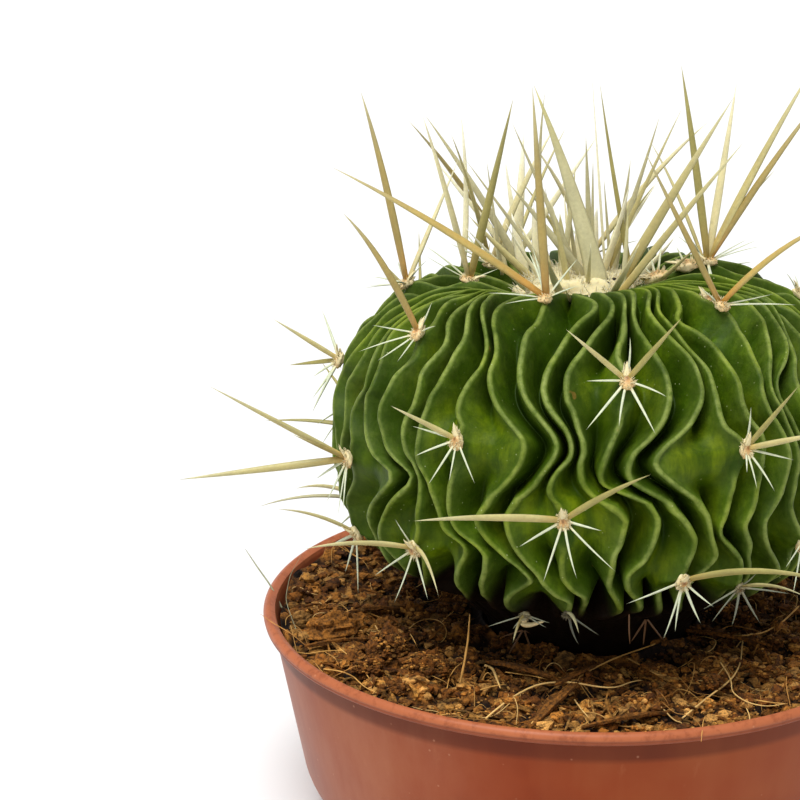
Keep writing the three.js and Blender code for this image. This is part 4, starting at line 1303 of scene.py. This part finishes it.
soil = {
    "belowRim": 2.6, "heave": 0.9, "gap": 0.3, "sides": 600, "rings": 124, "roughness": 1.25,
    "crumbs": 9200, "grit": 9200, "chips": 1300, "clods": 46,
    "fibres": 230, "fibreSteps": 14, "fibreReach": (19.5, 51.2), "longFibreSteps": 26,
}
soil["holeRadius"] = body["neckRadius"] + 1.4 * soil["gap"]
soil["holeFloor"] = body["rootHeight"] - body["rootPoint"] - soil["gap"]
earths = [linear(160, 98, 34), linear(194, 126, 50), linear(216, 152, 70), linear(230, 168, 88),
          linear(124, 72, 24)]
chipTones = [linear(190, 122, 48), linear(212, 148, 66), linear(164, 100, 34), linear(226, 168, 88)]
fibreTones = [linear(224, 168, 88), linear(242, 196, 120), linear(196, 138, 66), linear(150, 150, 118)]


def soilHeight(x, y):  # the level that the part's source has, heaped a little against the far wall
    lumps = np.sin(x * 0.31 + 1.3) * np.cos(y * 0.27) + 0.6 * np.sin(x * 0.13 - y * 0.49)
    heap = 1.5 * smoothStep(y, -12, 22) * smoothStep(np.hypot(x, y), 34, 50)
    return pot["rimHeight"] - soil["belowRim"] + soil["heave"] * lumps + heap


def crumble(x, y):  # lumps and grains on top of that level
    place = Vector((x, y, 0))
    lumps = 1 - min(1, 1.3 * noise.voronoi(place / 3.4 + Vector((2, 7, 0)))[0][0]) ** 2
    grains = 1 - min(1, 1.5 * noise.voronoi(place / 1.3)[0][0]) ** 2
    rolling = noise.noise(place / 6 + Vector((3, 8, 1)))
    lumps = 1.5 * lumps * (0.65 + noise.noise(place / 4))
    return soil["roughness"] * (1.2 * rolling + lumps + 0.6 * grains - 1.3)


def groundHeight(x, y):
    return float(soilHeight(x, y)) + crumble(x, y)


def makeSoil():
    inset = pot["wallThickness"] + soil["gap"]
    level = pot["rimHeight"] - soil["belowRim"]
    turns = np.arange(soil["sides"]) / soil["sides"] * 2 * math.pi

    def circle(radius, height, middle=0.0):
        return np.stack([middle + radius * np.sin(turns), -radius * np.cos(turns),
                         np.full_like(turns, height)], -1)

    rings = [circle(0.01, inset)]
    rings += [circle(radius, height) for radius, height in wallOutline(inset, level)[:-1]]
    dark = [np.zeros(len(turns)) for ring in rings]  # painted shade: 0 in the darkened gaps and 1 on the lumps
    for ring in range(soil["rings"]):
        share = ring / (soil["rings"] - 1)
        radius = wallRadius(inset, level) * (1 - share) + soil["holeRadius"] * share
        points = circle(radius, 0, body["offset"] * share)
        edge = smoothStep(share, 0, 0.02) * (1 - smoothStep(share, 0.97, 1))
        relief = np.array([crumble(x, y) for x, y, z in points])
        points[:, 2] = soilHeight(points[:, 0], points[:, 1]) + edge * relief
        rings.append(points)
        dark.append(smoothStep(relief, -0.9, 0.6))
    rings += [circle(soil["holeRadius"], soil["holeFloor"], body["offset"]),
              circle(0.01, soil["holeFloor"], body["offset"])]
    dark += [np.zeros(len(turns))] * 2
    bed = rolledGrid("soilBed", np.array(rings))
    dark = np.array(dark)
    dark = np.concatenate([dark, dark[:, :1]], 1).reshape(-1, 1)
    tintPoints(bed, linear(36, 17, 4) * (1 - dark) + earths[1] * dark)
    weldGrid(bed, 0.012, coirCrumb)
    seat(bed, "coir_soil", "soil")
    print("soil", len(bed.data.polygons), "faces")


def onSoil(number, inner=19.5, outer=50.5):  # a seeded place on the bed
    turn = 2 * math.pi * draw(number * 1.913 + 3)
    radius = math.sqrt(inner ** 2 + (outer ** 2 - inner ** 2) * draw(number * 2.717 + 8))
    return radius * math.sin(turn), -radius * math.cos(turn)


def onGround(pixel, lift=0.4):  # where the picture shows this spot of the bed, found by trying thrice
    height = pot["rimHeight"] - 1.5
    for again in range(3):
        x, y, z = pointAtHeight(pixel, height)
        height = groundHeight(x, y) + lift
    return np.array([x, y, z])


def headed(points, spin):  # turned about the vertical
    cosine, sine = math.cos(spin), math.sin(spin)
    return points @ np.array([[cosine, -sine, 0], [sine, cosine, 0], [0, 0, 1]]).T


def lumpPoints(shape, x, y, size, seed):  # an uneven crumb, a little sunk into the bed
    stretch = np.array([1 + 0.6 * draw(seed), 1 + 0.5 * draw(seed + 1), 0.6 + 0.4 * draw(seed + 2)]) * size
    uneven = 1 + 0.7 * (draw(seed + np.arange(len(shape[0])) * 3.3) - 0.5)
    ball = headed(shape[0] * stretch * uneven[:, None], 2 * math.pi * draw(seed + 3))
    return ball + np.array([x, y, groundHeight(x, y) + 0.25 * size])


def chipShape(cuts):  # a torn flake: a thin box, narrowed towards its ends
    deselectAll()
    bpy.ops.mesh.primitive_cube_add(size=1)
    bpy.ops.object.mode_set(mode="EDIT")
    bpy.ops.mesh.select_all(action="SELECT")
    bpy.ops.mesh.subdivide(number_cuts=cuts)
    bpy.ops.object.mode_set(mode="OBJECT")
    points, faces = readShape(bpy.context.object)
    narrow = 1 - 0.75 * (2 * np.abs(points[:, 0:1])) ** 2.5
    return points * np.concatenate([np.ones_like(narrow), narrow, 0.5 + 0.5 * narrow], 1), faces


def tumbled(points, heading, tilt, roll):
    cosine, sine = math.cos(roll), math.sin(roll)
    points = points @ np.array([[1, 0, 0], [0, cosine, -sine], [0, sine, cosine]]).T
    cosine, sine = math.cos(tilt), math.sin(tilt)
    points = points @ np.array([[cosine, 0, -sine], [0, 1, 0], [sine, 0, cosine]]).T
    return headed(points, heading)


def shadeNear(x, y):  # painted light and shade on the earth: darker under the plant and behind the front, lighter at the front
    front = 1 + 0.18 * smoothStep(-y, 25, 42) - 0.25 * smoothStep(y, -25, 0)
    return front * (0.8 + 0.2 * smoothStep(math.hypot(x - body["offset"], y), 21, 29))


def gapShade(x, y):  # painted shade: the gaps between the lumps are dark too, and the sunlit peaks are dimmed
    relief = crumble(x, y)
    bright = 0.38 + 0.62 * smoothStep(relief, -1.7, -0.2) - 0.4 * smoothStep(relief, 0.5, 1.6)
    return shadeNear(x, y) * bright


# Name, how many, smallest half size, how much larger they get, and where the draws of their places start
crumbKinds = [
    ("soilCrumbs", soil["crumbs"], 0.2, 0.85, 0.5),
    ("soilGrit", soil["grit"], 0.11, 0.2, 50000.5),
]


def makeCrumbs():
    grain = ballShape(1)
    for name, count, least, spread, seed in crumbKinds:
        pile = newPile()
        for number in range(count):
            x, y = onSoil(number + seed)
            finer = 0.5 + 0.5 * float(smoothStep(math.hypot(x, y), 26, 40))  # near the plant
            size = least + spread * draw(number + 1000) ** 3 * finer
            tone = earths[int(draw(number + 2000) * len(earths))] * (0.72 + 0.78 * draw(number + 2500))
            addCopy(pile, grain, lumpPoints(grain, x, y, size, number * 1.3), tone * gapShade(x, y))
        seat(pilePiece(name, pile, coirCrumb, smooth=False), "coir_soil")
        print(name, sum(len(faces) for faces in pile["faces"]), "faces")


def makeChips():
    pile, chip = newPile(), chipShape(2)
    for number in range(soil["chips"]):
        x, y = onSoil(number + 20000.5, 22, 49.5)
        long, wide, thick = 1.4 + 5 * draw(number + 5000) ** 2, 0.4 + 1.1 * draw(number + 5100) ** 2, 0.26
        flake = chip[0] * np.array([long, wide, thick])
        flake = flake * (1 + 0.4 * (draw(number * 3.1 + np.arange(len(flake)) * 1.7) - 0.5))[:, None]
        flake[:, 2] += 0.12 * long * (np.sin(flake[:, 0] / long * 3 + number) - 0.3)
        flake = tumbled(flake, 2 * math.pi * draw(number + 5200), 0.8 * (draw(number + 5300) - 0.5),
                        2.4 * (draw(number + 5400) - 0.5))
        tone = chipTones[number % len(chipTones)] * (0.5 + 0.6 * draw(number + 5500)) * gapShade(x, y)
        height = groundHeight(x, y) + 0.2 + 0.5 * draw(number + 5600)
        addCopy(pile, chip, flake + np.array([x, y, height]), tone)
    seat(pilePiece("soilChips", pile, coirCrumb, smooth=False), "coir_soil")
    print("chips", soil["chips"])


# Husks and clods that the picture shows: pixel, half sizes, heading in degrees, kind
shownClods = [
    ((335, 632), (5.4, 3.0, 3.2), 34, "husk"), ((388, 652), (3.4, 3.0, 3.6), 10, "crumbly"),
    ((425, 672), (3.9, 3.0, 3.2), 0, "crumbly"), ((301, 624), (1.9, 1.5, 2.2), 20, "pale"),
    ((368, 668), (2.4, 2.0, 1.8), 0, "crumbly"), ((566, 662), (1.9, 1.6, 1.9), 0, "pale"),
    ((630, 700), (1.4, 1.2, 1.2), 0, "crumbly"), ((712, 682), (1.5, 1.3, 1.2), 0, "crumbly"),
    ((770, 676), (2.8, 1.6, 1.3), 5, "crumbly"), ((552, 722), (1.5, 1.0, 0.9), 0, "pale"),
    ((735, 655), (2.1, 1.1, 1.0), -30, "pale"), ((658, 672), (3.2, 1.6, 1.2), 5, "crumbly"),
    ((505, 642), (2.2, 1.6, 1.3), 20, "crumbly"), ((545, 652), (1.8, 1.4, 1.4), 0, "crumbly"),
    ((598, 653), (2.2, 1.5, 1.3), -10, "crumbly"), ((655, 641), (2.0, 1.4, 1.2), 0, "husk"),
    ((478, 632), (1.6, 1.3, 1.1), 0, "crumbly"), ((700, 632), (2.2, 1.5, 1.2), 12, "crumbly"),
]
# Torn strips of husk: pixels of both ends, width and brightness
shownStrips = [
    ((528, 729), (578, 682), 2.2, 0.9), ((582, 728), (673, 712), 1.7, 0.8),
    ((484, 662), (552, 677), 2.4, 0.85), ((662, 700), (693, 692), 1.0, 1.1),
    ((305, 647), (368, 640), 1.6, 0.8), ((350, 612), (400, 609), 1.5, 0.7),
    ((555, 686), (600, 664), 1.8, 0.8), ((676, 630), (770, 646), 1.4, 0.8),
]


def husk(ball, half, seed):  # drawn out along its length
    rough = 0.8 * noiseAt(ball * (1.1, 3, 3) + (0, 0, seed)) + 0.5 * noiseAt(ball * (2, 7, 7) + (0, 0, seed))
    return ball * half * (1 + 0.4 * rough[:, None]), 1.3 * rough[:, None]


def clod(ball, half, seed):
    place = ball + seed * 7
    rough = 0.8 * noiseAt(place, 1 / 1.9) + 0.55 * noiseAt(place, 1 / 4.3) + 0.4 * noiseAt(place, 1 / 9)
    return ball * half * (1 + 0.55 * rough[:, None]), rough[:, None]


def addBits(pile, grain, centre, half, heading, number):  # small crumbs all over a crumbly clod
    count = (130 if half[0] > 3 else 46) * half[0]
    for bit in range(int(count)):
        seed = number * 31 + bit
        away = unit(np.array([draw(seed) - 0.5, draw(seed + 0.3) - 0.5, 0.7 * draw(seed + 0.6) - 0.1]) + 1e-6)
        at = centre + headed(away * half * 1.02, heading)
        tone = earths[int(3 * draw(seed + 5))] * (0.4 + 1.1 * draw(seed + 6) ** 2) * shadeNear(*centre[:2])
        jagged = grain[0] * (1 + 0.7 * (draw(seed + np.arange(len(grain[0]))) - 0.5))[:, None]
        addCopy(pile, grain, at + jagged * np.array([1.3, 1, 0.8]) * (0.12 + 0.2 * draw(seed + 9)), tone)


def makeClods():
    pile, grain, boulder = newPile(), ballShape(1), ballShape(4)
    places = [(onGround(pixel, 0.4 * half[2]), np.array(half, float), math.radians(heading), kind)
              for pixel, half, heading, kind in shownClods]
    for number in range(soil["clods"]):
        x, y = onSoil(number + 40000.5, 25, 48)
        size = 0.8 + 1.5 * draw(number + 3000) ** 2
        places.append((np.array([x, y, groundHeight(x, y) + 0.1 * size]), size * np.array([1, 0.85, 0.75]),
                       6 * draw(number + 7), "crumbly" if number % 3 else "husk"))
    # shape, colour and how light its hollows are, which are painted in shade
    kinds = {"crumbly": (clod, earths[0], 0.6), "husk": (husk, earths[1], 0.85),
             "pale": (husk, earths[3] * 0.7, 0.85)}
    for number, (centre, half, heading, kind) in enumerate(places):
        shape, tone, paintedHollowLight = kinds[kind]
        ball, rough = shape(boulder[0], half, number)
        # painted shade: darker in the hollows, lighter on the bumps
        tint = tone * shadeNear(*centre[:2]) * (paintedHollowLight + 0.7 * rough)
        addCopy(pile, boulder, centre + headed(ball, heading), tint)
        if kind == "crumbly":
            addBits(pile, grain, centre, half, heading, number)
    clods = pilePiece("soilClods", pile, coirCrumb, smooth=False)
    seat(clods, "coir_soil")
    print("clods", len(clods.data.polygons), "faces")


def makeStrips():
    pile, strip = newPile(), chipShape(9)
    x, y, z = (part[:, None] for part in strip[0].T)
    upright = np.array([0, 0, 1])
    for number, (start, end, width, bright) in enumerate(shownStrips):
        start, end = onGround(start, 0.5), onGround(end, 0.6)
        along = end - start
        across = unit(np.cross(along, upright))
        rough = noiseAt(strip[0] * (5, 9, 0) + (0, 0, number))
        rough = (rough + 0.6 * noiseAt(strip[0] * (14, 22, 0) + (0, 0, number)))[:, None]
        middle = (start + end) / 2 + along * x + upright * 0.5 * np.cos(3 * x)
        side = across * (y * width * (1 + 0.35 * rough))
        points = middle + side + upright * (z * 0.5 + 0.35 * rough + 0.5 * y)
        # painted shade: darker in the strip's dips
        addCopy(pile, strip, points, chipTones[0] * bright * (0.8 + 0.6 * rough))
    seat(pilePiece("huskStrips", pile, coirCrumb), "coir_soil")
    print("strips", len(shownStrips))


# Fibres that the picture shows lying on the bed: width, tone and pixels
shownFibres = [
    (0.34, 1, [(482, 722), (503, 703), (533, 684), (555, 682), (574, 682), (595, 687), (619, 689),
               (629, 681), (647, 680)]),
    (0.3, 0, [(528, 728), (550, 701), (570, 682), (599, 665), (625, 654), (651, 646), (661, 641),
              (674, 641)]),
    (0.26, 0, [(627, 658), (640, 665), (657, 675), (668, 675)]),
    (0.3, 1, [(679, 721), (708, 697), (732, 680), (741, 663), (742, 643), (745, 633)]),
    (0.24, 1, [(719, 660), (732, 680), (731, 692), (747, 703), (768, 707), (789, 703)]),
    (0.3, 0, [(800, 605), (783, 622), (764, 633), (742, 636), (712, 636)]),
    (0.24, 0, [(755, 700), (774, 703), (789, 704)]),
    (0.2, 2, [(787, 671), (786, 686), (791, 709)]),
    (0.22, 2, [(712, 635), (730, 625), (755, 630), (768, 635)]),
    (0.2, 0, [(504, 672), (533, 676), (550, 680)]),
    (0.22, 1, [(574, 699), (581, 709), (589, 718)]),
    (0.5, 1, [(484, 665), (493, 669), (501, 690)]),
    (0.22, 0, [(480, 690), (494, 686), (508, 684)]),
    (0.2, 2, [(539, 682), (540, 662), (549, 649)]),
    (0.16, 0, [(408, 630), (416, 622), (429, 618), (441, 621), (447, 629), (446, 638), (439, 644)]),
    (0.18, 0, [(408, 630), (415, 642), (420, 654)]),
    (0.2, 0, [(447, 689), (449, 678), (455, 668), (464, 661)]),
    (0.2, 0, [(290, 651), (307, 654), (325, 651), (346, 650)]),
    (0.26, 0, [(322, 669), (340, 671), (353, 676), (364, 687), (379, 694)]),
    (0.2, 0, [(338, 647), (349, 656), (362, 668), (369, 678), (376, 689)]),
    (0.2, 2, [(369, 660), (349, 669), (333, 677)]),
    (0.18, 2, [(325, 652), (335, 658), (340, 668)]),
    (0.18, 0, [(442, 622), (448, 616), (454, 611)]),
]
# Fibres that stand up or cross the rim: width, tone, pixels and the height of each after the first
raisedFibres = [
    (0.42, 0, [(459, 689), (464, 664), (468, 640), (470, 611)], [37, 40, 44]),
    (0.18, 2, [(313, 652), (292, 634), (273, 623), (259, 613)], [36.8, 37.6, 38.2]),
    (0.3, 3, [(283, 610), (271, 586), (258, 568), (244, 547)], [37.6, 39, 40]),
    (0.12, 3, [(300, 640), (285, 600), (290, 575), (303, 552)], [37.2, 38.5, 39.5]),
    (0.14, 0, [(705, 716), (703, 722), (702, 733), (701, 743)], [37.1, 36.6, 35.4]),
]


def fibreLine(pixels, count):  # a rounded line through a few pixels, on top of the bed
    steps = np.linspace(0, len(pixels) - 1, count)
    line = [np.interp(steps, np.arange(len(pixels)), [pixel[axis] for pixel in pixels]) for axis in (0, 1)]
    line = smoothRows(np.array(line), count / 18).T
    heights = np.array([[onGround(pixel, 1.25)[2] for pixel in line]])
    heights = smoothRows(heights, 2.5)[0]
    return np.array([pointAtHeight(pixel, height) for pixel, height in zip(line, heights)])


def makeFibres():
    count, (inner, outer) = soil["fibreSteps"], soil["fibreReach"]
    pile, strand, longStrand = newPile(), tubeShape(4, count), tubeShape(5, soil["longFibreSteps"])
    for number in range(soil["fibres"]):
        x, y = onSoil(number + 70000.5, 24, 49)
        turn = 2 * math.pi * draw(number + 71)
        length = 3 + 17 * draw(number + 72) ** 2.2
        width = 0.11 + 0.16 * draw(number + 73) ** 3
        curl = (draw(number + 74) - 0.5) * 5 / count
        arch = 0.2 + 2.2 * draw(number + 75) ** 3
        spots = []
        for step in range(count + 1):
            spots.append((x, y, groundHeight(x, y) + 0.25 + arch * math.sin(step / count * math.pi)))
            turn += curl + 0.7 * (draw(number * 10 + step) - 0.5)
            x, y = x + math.cos(turn) * length / count, y + math.sin(turn) * length / count
            reach = math.hypot(x, y)
            inside = min(max(reach, inner), outer)
            if inside != reach:
                x, y = x * inside / reach, y * inside / reach
        spots = smoothRows(np.array(spots).T, 1.3).T
        addCopy(pile, strand, strandPoints(strand, spots, width),
                fibreTones[number % 3] * (0.65 + 0.4 * draw(number + 77)))
    longCount = soil["longFibreSteps"] + 1
    shown = [(width, tone, fibreLine(pixels, longCount)) for width, tone, pixels in shownFibres]
    for width, tone, pixels, heights in raisedFibres:
        spots = [onGround(pixels[0], 0), *map(pointAtHeight, pixels[1:], heights)]
        shown.append((width, tone, softened(spots, longCount)))
    for width, tone, spots in shown:
        addCopy(pile, longStrand, strandPoints(longStrand, spots, width),
                fibreTones[tone] * (0.95 + 0.12 * np.sin(30 * longStrand[0][:, 2:])))
    fibres = pilePiece("coirFibres", pile, coirFibre)
    seat(fibres, "coir_soil")
    print("fibres", len(fibres.data.polygons), "faces")


makeSoil()
makeCrumbs()
makeChips()
makeClods()
makeStrips()
makeFibres()


# Floor, light and sky

room = {"floorRadius": 8.0, "edgeRise": 1.2, "skyStrength": 0.45, "sunStrength": 3.5, "sunSpread": 36}
deselectAll()
bpy.ops.mesh.primitive_circle_add(vertices=96, radius=room["floorRadius"], fill_type="NGON")
floorDisc = bpy.context.object
floorDisc.name = "floorDisc"
bpy.ops.object.mode_set(mode="EDIT")
bpy.ops.mesh.select_all(action="SELECT")
bpy.ops.mesh.inset(thickness=room["floorRadius"] * 0.5)
bpy.ops.mesh.select_all(action="INVERT")
bpy.ops.transform.translate(value=(0, 0, room["edgeRise"]))  # the far edge rises into a backdrop
bpy.ops.object.mode_set(mode="OBJECT")
paleFloor = newFinish("paleFloor", **{"Roughness": 0.9, "Base Color": (0.76, 0.76, 0.76, 1)})[0]
floorDisc.data.materials.append(paleFloor)

sky = bpy.data.worlds.new("softSky")
sky.use_nodes = True
sky.node_tree.nodes["Background"].inputs["Color"].default_value = (1, 1, 1, 1)
sky.node_tree.nodes["Background"].inputs["Strength"].default_value = room["skyStrength"]
bpy.context.scene.world = sky

bpy.ops.object.light_add(type="SUN", location=(-0.5, -0.6, 1.4))
overhead = bpy.context.object
overhead.name = "overheadLight"
overhead.data.energy = room["sunStrength"]
overhead.data.angle = math.radians(room["sunSpread"])
overhead.rotation_euler = Vector((0.28, 0.5, -1.4)).to_track_quat("-Z", "Y").to_euler()
bpy.context.scene.view_settings.view_transform = "Standard"
print("stage ready")
